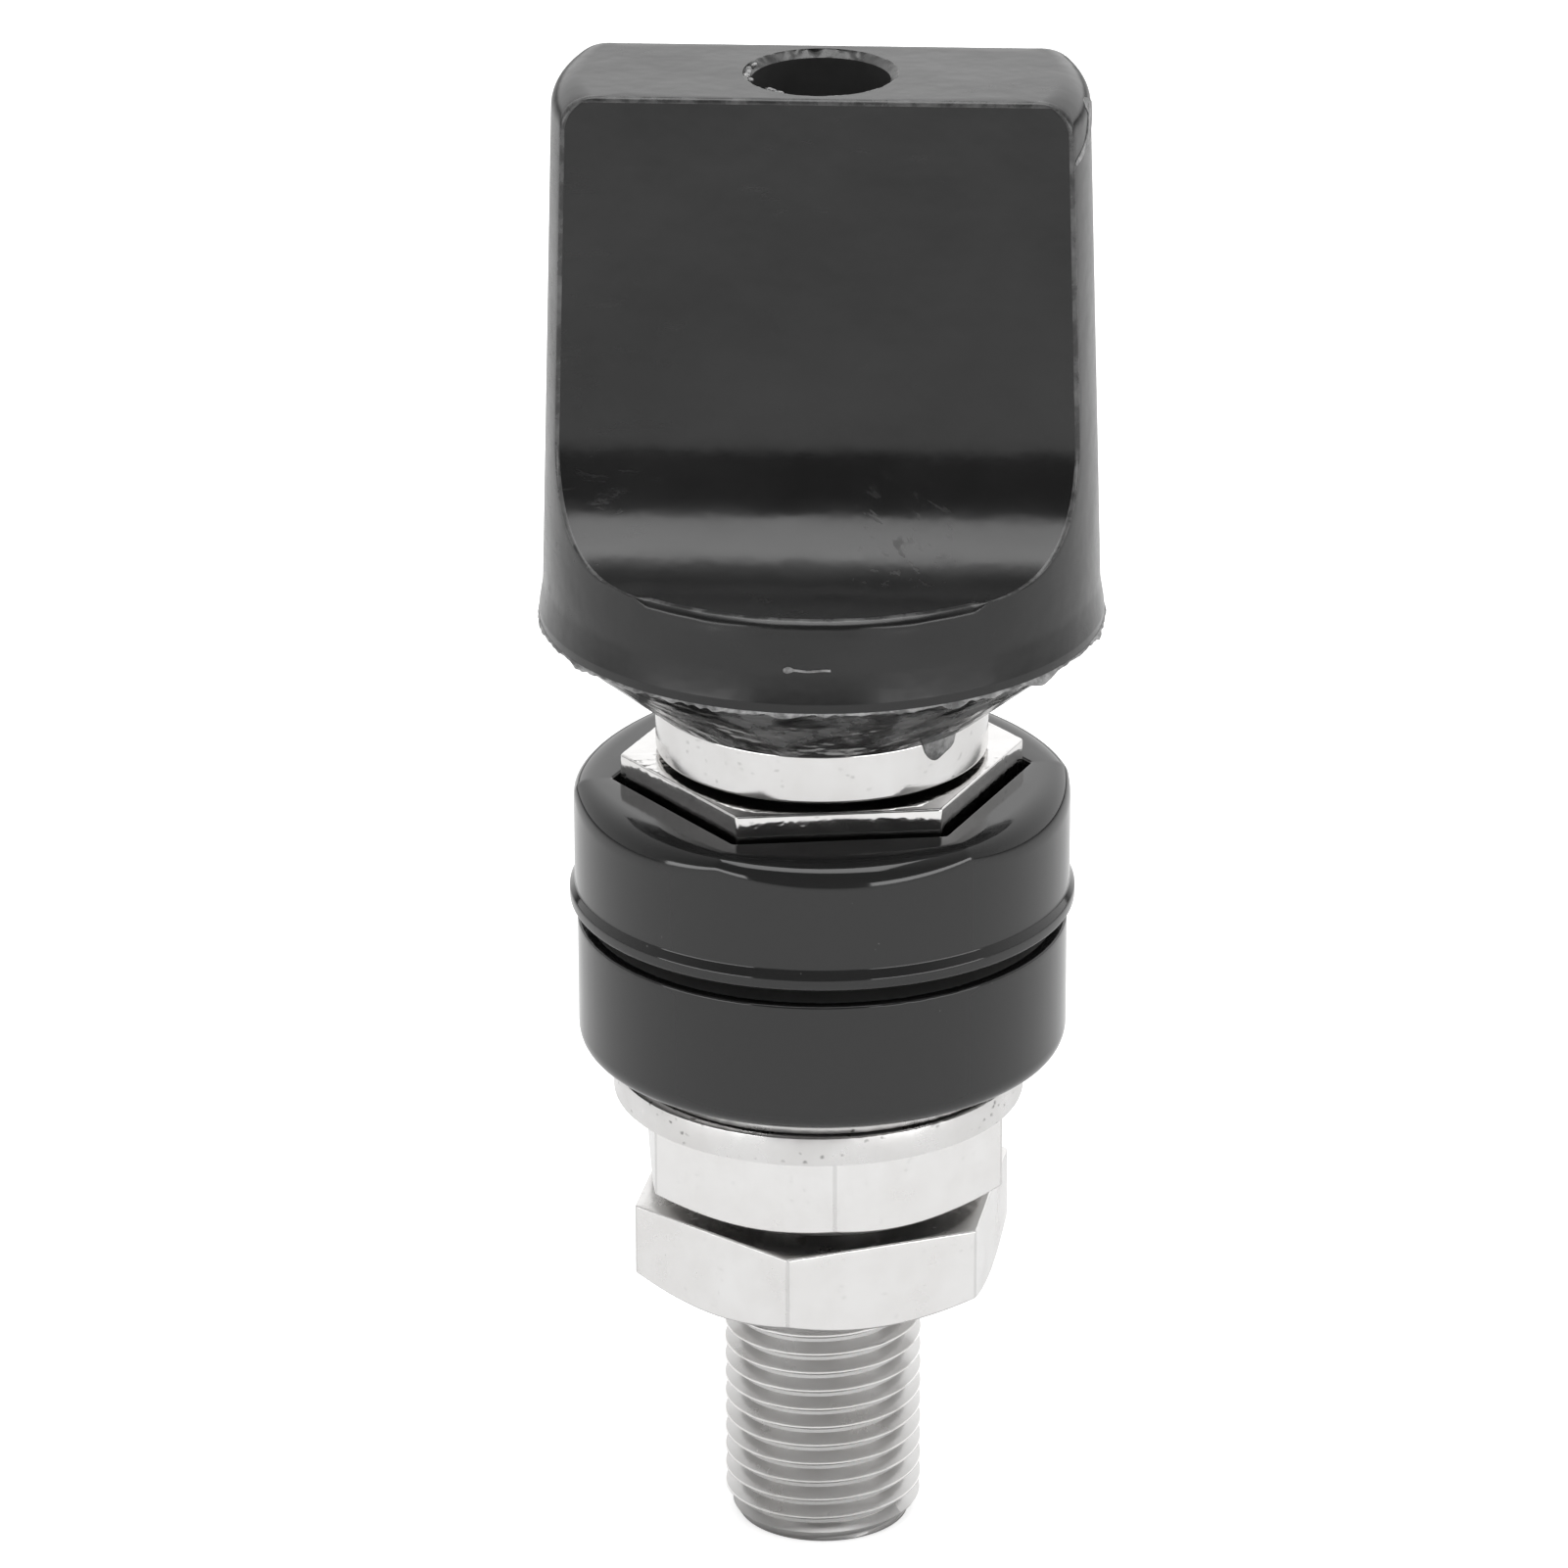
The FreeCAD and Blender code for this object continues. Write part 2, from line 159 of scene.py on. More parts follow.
# Crumbs on the top hole's mouth as (angle, radius, half length, half width)
CRUMBS = [(170, 3.5, 0.2, 0.14), (178, 3.42, 0.26, 0.12), (187, 3.5, 0.22, 0.15), (197, 3.38, 0.2, 0.1),
          (229, 3.36, 0.3, 0.12), (238, 3.42, 0.24, 0.1), (158, 3.45, 0.2, 0.1)]

# Levels from the frame
KNOB_FOOT, KNOB_TOP = levels_of("knob")
BUSH_FOOT = levels_of("knob_insert")[0]
STUD_END, STUD_TOP = levels_of("stud")
SPIGOT_FOOT, UPPER_TOP = levels_of("upper_insulator")
LOWER_FOOT, LOWER_TOP = levels_of("lower_insulator")
THICK_FOOT, THICK_TOP = levels_of("thick_washer")
RECESS_FLOOR = UPPER_TOP - RECESS_DEPTH
COLLAR_TOP = RECESS_FLOOR + COLLAR_HEIGHT
LIP_FOOT = KNOB_FOOT + CONE_HEIGHT
LIP_TOP = LIP_FOOT + LIP_HEIGHT
SCOOP_FLOOR = KNOB_FOOT + SCOOP_FLOOR_HEIGHT
CORNER_LEVEL = KNOB_TOP - KNOB_CORNER_RADIUS
HOLE_FLOOR = KNOB_TOP - TOP_HOLE_DEPTH


# Mesh building

# Points closer than this become one, and shorter edges than this are dissolved, both in metres
WELD_DISTANCE = 2e-7
SHORTEST_EDGE = 1e-7


def add_object(name, data):
    """A new object in the scene."""
    made = bpy.data.objects.new(name, data)
    bpy.context.scene.collection.objects.link(made)
    return made


def finish_mesh(bm, name, body, sharp=40):
    """Weld, orient and shade a mesh, and give it a body."""
    bmesh.ops.remove_doubles(bm, verts=bm.verts, dist=WELD_DISTANCE)
    bmesh.ops.dissolve_degenerate(bm, edges=bm.edges, dist=SHORTEST_EDGE)
    bmesh.ops.recalc_face_normals(bm, faces=bm.faces)
    mesh = bpy.data.meshes.new(name)
    bm.to_mesh(mesh)
    bm.free()
    mesh.shade_smooth()
    mesh.set_sharp_from_angle(angle=math.radians(sharp))
    piece = add_object(name, mesh)
    flatten = piece.modifiers.new("flat faces stay flat", "WEIGHTED_NORMAL")
    flatten.keep_sharp = True
    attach(piece, body)
    return piece


def on_circle(radius, a, z):
    """The place at a radius from the axis, at a polar angle in radians and at a level."""
    return Vector((radius * math.cos(a), radius * math.sin(a), z))


def circle_row(radius, z, angles):
    """The places on a level circle at polar angles in radians."""
    return [on_circle(radius, a, z) for a in angles]


def away_from_axis(place):
    """The level direction from the axis to a place."""
    return Vector((place.x, place.y, 0)).normalized()


def rounded(corners):
    """Points along a profile.

    A corner is (radius from the axis, level). A rounded one also has its rounding and the steps over it.
    """
    points = []
    count = len(corners)
    for i, (x, z, *edge) in enumerate(corners):
        rounding, steps = edge or (0, 0)
        here = Vector((x, z))
        before = Vector(corners[i - 1][:2]) - here
        after = Vector(corners[(i + 1) % count][:2]) - here
        if not rounding or min(before.length, after.length) < 1e-6:
            points += [here] * (steps + 1)
            continue
        turn = math.pi - before.angle(after)
        reach = min(rounding * math.tan(turn / 2), 0.49 * before.length, 0.49 * after.length)
        start = here + before.normalized() * reach
        end = here + after.normalized() * reach
        for step in range(steps + 1):
            t = step / steps
            bend = start * (1 - t) ** 2 + here * 2 * t * (1 - t) + end * t ** 2
            points.append(bend)
    return points


# What noise is multiplied by to reach about 1, how far apart in it two seeds lie, and how far an edge's wear
# reaches
NOISE_GAIN = 1.4
SEED_STEP = 17.3
WEAR_REACH = 0.16


def ragged(place, size, seed):
    """An uneven value, from about -1 to 1, that changes over a size in millimetres."""
    return NOISE_GAIN * noise.noise(place / size + Vector((seed * SEED_STEP, 0, 0)))


def worn(place, level, depth=0.03, size=0.4):
    """A place shifted a little, as burrs and nicks do, where it lies near an edge at a level."""
    patches = 0.35 + max(0, ragged(place, 2.2, seed=9))
    share = max(0, 1 - abs(place.z - level) / WEAR_REACH) * patches
    outwards = away_from_axis(place) * ragged(place, size, seed=1)
    downwards = Vector((0, 0, -abs(ragged(place, size, seed=2))))
    return place + (outwards + downwards) * depth * share


def turned_mesh(angles, profile, shift=None):
    """A ring mesh: the closed profile at each angle, joined to the next one."""
    bm = bmesh.new()
    columns = []
    for angle in angles:
        column = []
        for radius, z in profile(angle):
            place = on_circle(radius, math.radians(angle), z)
            if shift:
                place = shift(place)
            column.append(bm.verts.new(place * MM))
        columns.append(column)
    for i, column in enumerate(columns):
        following = columns[(i + 1) % len(columns)]
        for j in range(len(column)):
            k = (j + 1) % len(column)
            bm.faces.new((column[j], following[j], following[k], column[k]))
    return bm


def round_angles(count=192):
    """Even angles round the axis."""
    return [360 * i / count for i in range(count)]


def hexagon_angles(turn, flat_steps):
    """Angles round a hexagon, close together at its corners."""
    angles = []
    for side in range(6):
        middle = 60 * side + turn
        wide = 30 - CORNER_WIDTH / 2
        angles += [middle - wide + 2 * wide * i / flat_steps for i in range(flat_steps)]
        angles += [middle + wide + CORNER_WIDTH * i / CORNER_COLUMNS for i in range(CORNER_COLUMNS)]
    return angles


def off_middle(angle, turn):
    """Degrees between an angle and the middle of a hexagon's nearest side."""
    return abs((angle - turn + 30) % 60 - 30)


def hexagon_radius(angle, across_flats, turn, rounding):
    """Distance from the axis to a hexagon with rounded corners, whose side 0 faces the turn angle."""
    off = off_middle(angle, turn)
    half = across_flats / 2
    tangent = math.degrees(math.atan((half - rounding) * math.tan(math.radians(30)) / half))
    if off <= tangent:
        return half / math.cos(math.radians(off))
    centre = (half - rounding) / math.cos(math.radians(30))
    beta = math.radians(30 - off)
    return centre * math.cos(beta) + math.sqrt(rounding ** 2 - (centre * math.sin(beta)) ** 2)


def thread_turn():
    """Points over one turn of a 60 degree thread as (share of the pitch, share of the depth)."""
    crest, root, edge = CREST_FLAT / 2, ROOT_FLAT / 2, THREAD_EDGE
    half = [(crest - edge, 0), (crest + edge, 0.07), (0.5 - root - edge, 0.95), (0.5 - root + edge, 1)]
    return [(-share, depth) for share, depth in reversed(half)] + half


def spaced(start, end, step):
    """Values from start to end, both kept, about a step apart."""
    count = max(1, round(abs(end - start) / step))
    return [start + (end - start) * i / count for i in range(count + 1)]


# Metal and the plastic bushes

# Material indices on the thread, apart from 0 for its upper flanks and roots, and the points of a turn at
# which the lower flank and the crest end. The crest's paler plate is painted highlight, and the lower flank's
# darker plate is painted shade.
THREAD_CREST_HIGHLIGHT, THREAD_DULL_SHADED, THREAD_END = 1, 2, 3
FLANK_LAST, CREST_LAST = 2, 5


def thread_finish(point, z):
    """Material index of the thread's face that starts at a point of its turn, with its middle at a level."""
    if z < STUD_END + DULL_SHADED_END:
        return THREAD_END
    if point < FLANK_LAST:
        return THREAD_DULL_SHADED
    return THREAD_CREST_HIGHLIGHT if point < CREST_LAST else 0


def make_shaft():
    """The stud's threaded bar: a right-handed thread that runs from end to end, bevelled at both ends."""
    turn = thread_turn()
    first = math.floor(STUD_END - CREST_LEVEL) - 2
    last = math.ceil(STUD_TOP - CREST_LEVEL) + 2
    angles = [2 * math.pi * step / THREAD_COLUMNS for step in range(THREAD_COLUMNS)]

    def column_at(step):
        """One column of points. A full turn on, each point stands one turn higher."""
        column = []
        for count in range(first, last):
            for share, depth in turn:
                z = CREST_LEVEL + THREAD_PITCH * (count + share + step / THREAD_COLUMNS)
                z = min(max(z, STUD_END), STUD_TOP)
                bevel = END_RADIUS + min(z - STUD_END, STUD_TOP - z) * END_BEVEL
                r = min(THREAD_RADIUS - THREAD_DEPTH * depth, bevel)
                column.append(on_circle(r, angles[step], z))
        return column

    bm = bmesh.new()
    grid = [[bm.verts.new(place * MM) for place in column_at(step)] for step in range(THREAD_COLUMNS)]
    lap = len(turn)
    for step, column in enumerate(grid):
        following = grid[(step + 1) % THREAD_COLUMNS]
        ahead = lap if step == THREAD_COLUMNS - 1 else 0
        for i in range(len(column) - 1 - ahead):
            face = bm.faces.new((column[i], following[i + ahead], following[i + 1 + ahead], column[i + 1]))
            face.material_index = thread_finish(i % lap, face.calc_center_median().z / MM)
    for z in (STUD_END, STUD_TOP):
        bm.faces.new([bm.verts.new(place * MM) for place in circle_row(END_RADIUS, z, angles)])
    piece = finish_mesh(bm, "stud_thread", "post", sharp=45)
    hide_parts("stud")
    return piece


def make_collar():
    """The stud's hexagon collar, which sits in the upper bush's recess."""
    inner = THREAD_RADIUS - THREAD_DEPTH

    def profile(angle):
        r = hexagon_radius(angle, ACROSS_FLATS, COLLAR_TURN, HEXAGON_EDGE)
        return rounded([
            (inner, RECESS_FLOOR),
            (r, RECESS_FLOOR),
            (r, COLLAR_TOP - RING_DROP),
            (r, COLLAR_TOP, 0.13, 4),
            (r - RING_INSET, COLLAR_TOP),
            (inner, COLLAR_TOP),
        ])

    angles = hexagon_angles(COLLAR_TURN, flat_steps=60)
    bm = turned_mesh(angles, profile, lambda place: worn(place, COLLAR_TOP))
    return finish_mesh(bm, "stud_collar", "post")


def make_bush():
    """The knob's threaded bush, of which only the head shows."""
    bore = THREAD_RADIUS + RUNNING_CLEARANCE
    head_top = BUSH_FOOT + BUSH_HEAD_HEIGHT
    top = BUSH_FOOT + BUSH_HEIGHT
    head_radius = reach_of("knob_insert")

    def profile(angle):
        return rounded([
            (0, STUD_TOP + BORE_END_ROOM),
            (bore, STUD_TOP + BORE_END_ROOM),
            (bore, BUSH_FOOT + NUT_COUNTERSINK),
            (bore + NUT_COUNTERSINK, BUSH_FOOT),
            (head_radius, BUSH_FOOT, 0.16, 4),
            (head_radius, head_top, 0.16, 4),
            (BUSH_SHANK_RADIUS, head_top),
            (BUSH_SHANK_RADIUS, top),
            (0, top),
        ])

    piece = finish_mesh(turned_mesh(round_angles(), profile), "knob_bush", "bush")
    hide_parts("knob_insert")
    return piece


def make_upper_insulator():
    """The upper bush: a rounded shoulder, a bead at its foot, the collar's recess and the spigot."""
    bead_radius = reach_of("upper_insulator")

    def profile(angle):
        recess = hexagon_radius(angle, ACROSS_FLATS + 2 * RECESS_CLEARANCE, COLLAR_TURN, 0.25)
        return rounded([
            (STUD_HOLE_RADIUS, SPIGOT_FOOT),
            (SPIGOT_RADIUS, SPIGOT_FOOT, 0.2, 2),
            (SPIGOT_RADIUS, 0),
            (bead_radius, 0, 0.14, 4),
            (bead_radius, BEAD_LEVEL, 0.3, 5),
            (UPPER_RADIUS, BEAD_TOP, 0.3, 5),
            (UPPER_RADIUS, UPPER_TOP, SHOULDER_RADIUS, 14),
            (recess, UPPER_TOP, 0.16, 5),
            (recess, RECESS_FLOOR),
            (STUD_HOLE_RADIUS, RECESS_FLOOR),
        ])

    bm = turned_mesh(hexagon_angles(COLLAR_TURN, flat_steps=28), profile)
    piece = finish_mesh(bm, "upper_bush", "post")
    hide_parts("upper_insulator")
    return piece


# Material index of the lower bush's top face in the gap, made paler as painted light
PAINTED_GAP_LIGHT = 1


def make_lower_insulator():
    """The lower bush, counterbored for the spigot. Its top face, in the gap, is paler: painted light."""
    radius = reach_of("lower_insulator")

    def profile(angle):
        return rounded([
            (STUD_HOLE_RADIUS, LOWER_FOOT),
            (radius, LOWER_FOOT, LOWER_EDGE_RADIUS, 10),
            (radius, LOWER_TOP - RING_DROP),
            (radius, LOWER_TOP, 0.14, 4),
            (radius - RING_INSET, LOWER_TOP),
            (COUNTERBORE_RADIUS, LOWER_TOP, 0.2, 3),
            (COUNTERBORE_RADIUS, SPIGOT_FOOT),
            (STUD_HOLE_RADIUS, SPIGOT_FOOT),
        ])

    bm = turned_mesh(round_angles(384), profile, lambda place: worn(place, LOWER_TOP, 0.025, size=0.5))
    # Painted light: the top face in the gap gets a paler material
    for face in bm.faces:
        middle = face.calc_center_median() / MM
        if middle.z > LOWER_TOP - 0.02 and middle.xy.length < radius - RING_INSET:
            face.material_index = PAINTED_GAP_LIGHT
    piece = finish_mesh(bm, "lower_bush", "post")
    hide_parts("lower_insulator")
    return piece


def make_washer(name, node, radius, foot, height, burr, shift):
    """A stamped washer, burred along its edges, moved to its place by the shift."""
    def profile(angle):
        return rounded([
            (WASHER_BORE_RADIUS, foot),
            (radius - RING_INSET, foot),
            (radius, foot, WASHER_EDGE, 2),
            (radius, foot + height, WASHER_EDGE, 2),
            (radius - RING_INSET, foot + height),
            (WASHER_BORE_RADIUS, foot + height),
        ])

    def place_worn(place):
        return shift(worn(worn(place, foot + height, burr), foot, burr / 2))

    bm = turned_mesh(round_angles(384), profile, place_worn)
    piece = finish_mesh(bm, name, "post")
    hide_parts(node)
    return piece


def make_thick_washer():
    """The thick washer, which stands a little to one side of the axis."""
    low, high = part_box("thick_washer")
    aside = Vector(((low.x + high.x) / 2 / MM, 0, 0))
    radius = reach_of("thick_washer")
    height = THICK_TOP - THICK_FOOT
    return make_washer("washer_thick", "thick_washer", radius, THICK_FOOT, height, burr=0.03,
                       shift=lambda place: place + aside)


def make_thin_washer():
    """The thin washer, which lies a little aslant."""
    low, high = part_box("thin_washer")
    middle = Vector((0, 0, (low.z + high.z) / 2 / MM))
    tilt = Matrix.Rotation(math.radians(THIN_WASHER_TILT), 3, (0, -1, 0))
    radius = reach_of("thin_washer")
    foot = -THIN_WASHER_HEIGHT / 2
    return make_washer("washer_thin", "thin_washer", radius, foot, THIN_WASHER_HEIGHT, burr=0.05,
                       shift=lambda place: tilt @ place + middle)


# Material indices on a nut, and what tells its faces apart: how far up the chamfer reaches, how steep a
# chamfer's or an upright face's normal is, and how many degrees a corner spans to each side. The chamfer's
# and the corners' darker plates are painted shade.
NUT_DULL_SHADED, NUT_CORNER_SHADE = 1, 2
CHAMFER_REACH = 1.1
CHAMFER_NORMAL = (0.3, 0.99)
UPRIGHT_NORMAL = 0.2
CORNER_SPAN = 0.7


def nut_finish(face, foot, turn):
    """Material index of a nut's face."""
    middle = face.calc_center_median() / MM
    slope = abs(face.normal.z)
    if middle.z < foot + CHAMFER_REACH and CHAMFER_NORMAL[0] < slope < CHAMFER_NORMAL[1]:
        return NUT_DULL_SHADED
    angle = math.degrees(math.atan2(middle.y, middle.x))
    return NUT_CORNER_SHADE if slope < UPRIGHT_NORMAL and off_middle(angle, turn) > 30 - CORNER_SPAN else 0


def make_nut(name, node, body, turn):
    """A thin hexagon nut with its chamfered side down, turned so that side 0 faces an angle."""
    foot, top = levels_of(node)
    bore = THREAD_RADIUS + RUNNING_CLEARANCE

    def profile(angle):
        r = hexagon_radius(angle, ACROSS_FLATS, turn, HEXAGON_EDGE)
        rise = (r - NUT_FACE_RADIUS) * math.tan(math.radians(NUT_CHAMFER))
        return rounded([
            (bore, foot + NUT_COUNTERSINK),
            (bore + NUT_COUNTERSINK, foot),
            (NUT_FACE_RADIUS, foot, 0.3, 2),
            (r, foot + rise, 0.15, 3),
            (r, top - RING_DROP),
            (r, top, 0.1, 3),
            (r - RING_INSET, top),
            (bore + NUT_COUNTERSINK, top),
            (bore, top - NUT_COUNTERSINK),
        ])

    bm = turned_mesh(hexagon_angles(turn, flat_steps=60), profile, lambda place: worn(place, top))
    bm.normal_update()
    for face in bm.faces:
        face.material_index = nut_finish(face, foot, turn)
    piece = finish_mesh(bm, name, body)
    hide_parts(node)
    return piece


# Knob

# Columns over a quarter of the knob: the round side, its rounded edge and half the flat face
QUARTER_SIDE = 12
QUARTER_EDGE = 5
QUARTER_FACE = 60
QUARTER = QUARTER_SIDE + QUARTER_EDGE + QUARTER_FACE

# Ranges of columns that get the worn edge finish between a row and the next. Its paler grey is partly
# wear and flash, partly painted highlight of the rounded edges.
EVERY, EDGE_ONLY = (0, QUARTER), (QUARTER_SIDE, QUARTER_SIDE + QUARTER_EDGE)
EDGE_AND_FACE = (QUARTER_SIDE, QUARTER)

# Steps over the knob's roundings
MOUTH_STEPS = 5
CORNER_STEPS = 16
HOLLOW_STEPS = 24
DRUM_STEPS = 8
CONE_STEPS = 24


def side_radius(z):
    """Radius of the knob's tapered side at a level."""
    foot = LIP_TOP + LIP_BLEND
    return RIM_RADIUS + (KNOB_TOP_RADIUS - RIM_RADIUS) * (z - foot) / (KNOB_TOP - foot)


def grip_half(z):
    """Half the thickness of the drafted grip at a level."""
    return GRIP_TOP_HALF + (KNOB_TOP - z) * math.tan(math.radians(GRIP_DRAFT))


def grip_row(radius, half, z, width=KNOB_EDGE):
    """One level of the grip: the round side, its rounded edge and the flat face as far as its middle."""
    edge = math.asin(half / radius)
    reach = math.sqrt(radius ** 2 - half ** 2)
    side_end = edge - width / radius
    side = [side_end * i / QUARTER_SIDE for i in range(QUARTER_SIDE)]
    start = on_circle(radius, side_end, z)
    corner = Vector((reach, half, z))
    end = Vector((reach - width, half, z))
    bend = []
    for i in range(QUARTER_EDGE):
        t = i / QUARTER_EDGE
        bend.append(start * (1 - t) ** 2 + corner * 2 * t * (1 - t) + end * t ** 2)
    face = [Vector((end.x * (1 - i / QUARTER_FACE), half, z)) for i in range(QUARTER_FACE + 1)]
    return circle_row(radius, z, side) + bend + face


def between_rows(first, last, count):
    """Rows between two rows, with both left out."""
    return [[a.lerp(b, i / (count + 1)) for a, b in zip(first, last)] for i in range(1, count + 1)]


def hole_rows():
    """The top hole's floor and wall, and its mouth with two rings outside it."""
    even = [math.pi / 2 * i / QUARTER for i in range(QUARTER + 1)]
    mouth = KNOB_TOP - MOUTH_DEPTH
    rows = [(circle_row(0, HOLE_FLOOR, even), None), (circle_row(TOP_HOLE_RADIUS, HOLE_FLOOR, even), None)]
    rows += [(circle_row(TOP_HOLE_RADIUS, z, even), None) for z in spaced(HOLE_FLOOR + 2, mouth, 2)]
    for i in range(MOUTH_STEPS + 1):
        t = i / MOUTH_STEPS
        rows.append((circle_row(TOP_HOLE_RADIUS + MOUTH_WIDTH * t, mouth + MOUTH_DEPTH * t, even), EVERY))
    for margin in (0.04, 0.08):
        rows.append((circle_row(TOP_HOLE_RADIUS + MOUTH_WIDTH + margin, KNOB_TOP, even), None))
    return rows


def corner_rows():
    """The grip's rounded top corner, whose edges to the flat faces are rounded as well."""
    centre = side_radius(CORNER_LEVEL) - KNOB_CORNER_RADIUS
    rows = []
    for i in range(CORNER_STEPS + 1):
        a = math.pi / 2 * (1 - i / CORNER_STEPS)
        z = CORNER_LEVEL + KNOB_CORNER_RADIUS * math.sin(a)
        swell = 1 + CORNER_SWELL * math.sin(2 * a)
        row = grip_row(centre + KNOB_CORNER_RADIUS * math.cos(a), GRIP_TOP_HALF, z, KNOB_EDGE * swell)
        depth = KNOB_TOP - z
        for place in row[QUARTER_SIDE:]:
            waver = 0.22 * ragged(Vector((place.x, 0, 0)), 1.1, seed=7)
            width = KNOB_EDGE * (1 + waver)
            if depth < width:
                place.y -= width - math.sqrt(width ** 2 - (width - depth) ** 2)
            place.y += grip_half(z) - GRIP_TOP_HALF
        rows.append((row, EDGE_AND_FACE if depth < KNOB_EDGE else EDGE_ONLY))
    return rows


def scoop_rows():
    """The grip's flat face, then the scoop's hollow as far as its floor."""
    draft = math.radians(GRIP_DRAFT)
    hollow_top = SCOOP_FLOOR + SCOOP_RADIUS
    centre = grip_half(hollow_top) + SCOOP_RADIUS / math.cos(draft)
    rows = []
    for z in spaced(CORNER_LEVEL, hollow_top, 0.6)[1:-1]:
        rows.append((grip_row(side_radius(z), grip_half(z), z), EDGE_ONLY))
    for i in range(HOLLOW_STEPS + 1):
        a = draft + (math.pi / 2 - draft) * i / HOLLOW_STEPS
        z = hollow_top - SCOOP_RADIUS * math.sin(a)
        row = grip_row(side_radius(z), centre - SCOOP_RADIUS * math.cos(a), z)
        rows.append((row, EDGE_ONLY if i < HOLLOW_STEPS else None))
    return rows


def drum_edge_rows(floor_row):
    """The scoop's floor and the drum's rounded upper edge, which narrows to nothing where the scoop ends."""
    radius = side_radius(SCOOP_FLOOR)
    rows = []
    for step in range(-1, DRUM_STEPS + 2):
        t = math.pi / 2 * min(max(step, 0), DRUM_STEPS) / DRUM_STEPS
        drop = DRUM_MARGIN if step > DRUM_STEPS else 0
        row = []
        for end in floor_row:
            angle = math.atan2(end.y, end.x)
            room = radius - math.hypot(end.x, end.y)
            waver = 0.12 * ragged(on_circle(radius, angle, 0), 1.5, seed=8)
            width = min(DRUM_EDGE * (1 + waver), 0.7 * room)
            inset = min(DRUM_MARGIN, 0.2 * room) if step < 0 else 0
            level = SCOOP_FLOOR - width * (1 - math.cos(t)) - drop
            row.append(on_circle(radius - width * (1 - math.sin(t)) - inset, angle, level))
        rows.append((row, EDGE_AND_FACE if 0 <= step <= 2 else None))
    return rows


def foot_rows(angles):
    """The drum's side, its lip, the cone under it and the bush's seat."""
    radii = [(side_radius(z), z) for z in spaced(SCOOP_FLOOR - DRUM_EDGE - 0.2, LIP_TOP + LIP_BLEND, 0.4)]
    outline = rounded([
        (side_radius(LIP_TOP + LIP_BLEND), LIP_TOP + LIP_BLEND),
        (reach_of("knob"), LIP_TOP, 0.4, 4),
        (reach_of("knob"), LIP_FOOT, 0.12, 4),
        (CONE_FOOT_RADIUS, KNOB_FOOT),
    ])
    rows = [circle_row(r, z, angles) for r, z in radii + outline[1:-1]]
    cone_foot = circle_row(CONE_FOOT_RADIUS, KNOB_FOOT, angles)
    rows += between_rows(rows[-1], cone_foot, CONE_STEPS) + [cone_foot]
    seat_radius = BUSH_SHANK_RADIUS + RUNNING_CLEARANCE
    seat_top = KNOB_FOOT + BUSH_HEIGHT - BUSH_HEAD_HEIGHT
    seat = [(seat_radius, KNOB_FOOT), (seat_radius, seat_top), (0, seat_top)]
    return [(row, None) for row in rows + [circle_row(r, z, angles) for r, z in seat]]


def knob_rows():
    """Rows over a quarter of the knob, from the top hole's floor over the grip and down to the bush's seat.

    Each row comes with the range of columns that get the worn edge finish between it and the next row; that
    finish's paler grey is partly wear and flash, partly painted highlight.
    """
    hole, corner, scoop = hole_rows(), corner_rows(), scoop_rows()
    top = [(row, None) for row in between_rows(hole[-1][0], corner[0][0], 3)]
    floor_row = scoop[-1][0]
    angles = [math.atan2(place.y, place.x) for place in floor_row]
    return hole + top + corner + scoop + drum_edge_rows(floor_row) + foot_rows(angles)


def chipped(place):
    """A place on the top hole's mouth, moved as its ragged and chipped edge is."""
    radius = math.hypot(place.x, place.y)
    outer = TOP_HOLE_RADIUS + MOUTH_WIDTH
    if place.z < KNOB_TOP - MOUTH_DEPTH or radius > outer + 1e-6 or radius < TOP_HOLE_RADIUS - 1e-6:
        return place
    angle = math.degrees(math.atan2(place.y, place.x)) % 360
    depth = CHIP_ALL_ROUND + sum(d * math.exp(-((angle - a) / spread) ** 2) for a, spread, d in CHIPS)
    share = 0.3 + 0.7 * (radius - TOP_HOLE_RADIUS) / MOUTH_WIDTH
    outwards = away_from_axis(place) * ragged(place, 0.5, seed=3) * 0.6
    downwards = Vector((0, 0, -abs(ragged(place, 0.6, seed=4))))
    return place + (outwards + downwards) * depth * share


# Material indices on the knob, apart from 0 for the plain plastic. The worn edge's paler grey is partly
# painted highlight.
KNOB_WORN_AND_HIGHLIGHT, KNOB_CONE, KNOB_HOLE = 1, 2, 3


def knob_finish(face, worn_and_highlight_face):
    """Material index of a face of the knob."""
    middle = face.calc_center_median() / MM
    radius = middle.xy.length
    if worn_and_highlight_face:
        return KNOB_WORN_AND_HIGHLIGHT
    if middle.z < LIP_FOOT - 0.02 and radius > CONE_FOOT_RADIUS:
        return KNOB_CONE
    return KNOB_HOLE if radius < TOP_HOLE_RADIUS + 0.01 and middle.z > HOLE_FLOOR - 0.01 else 0


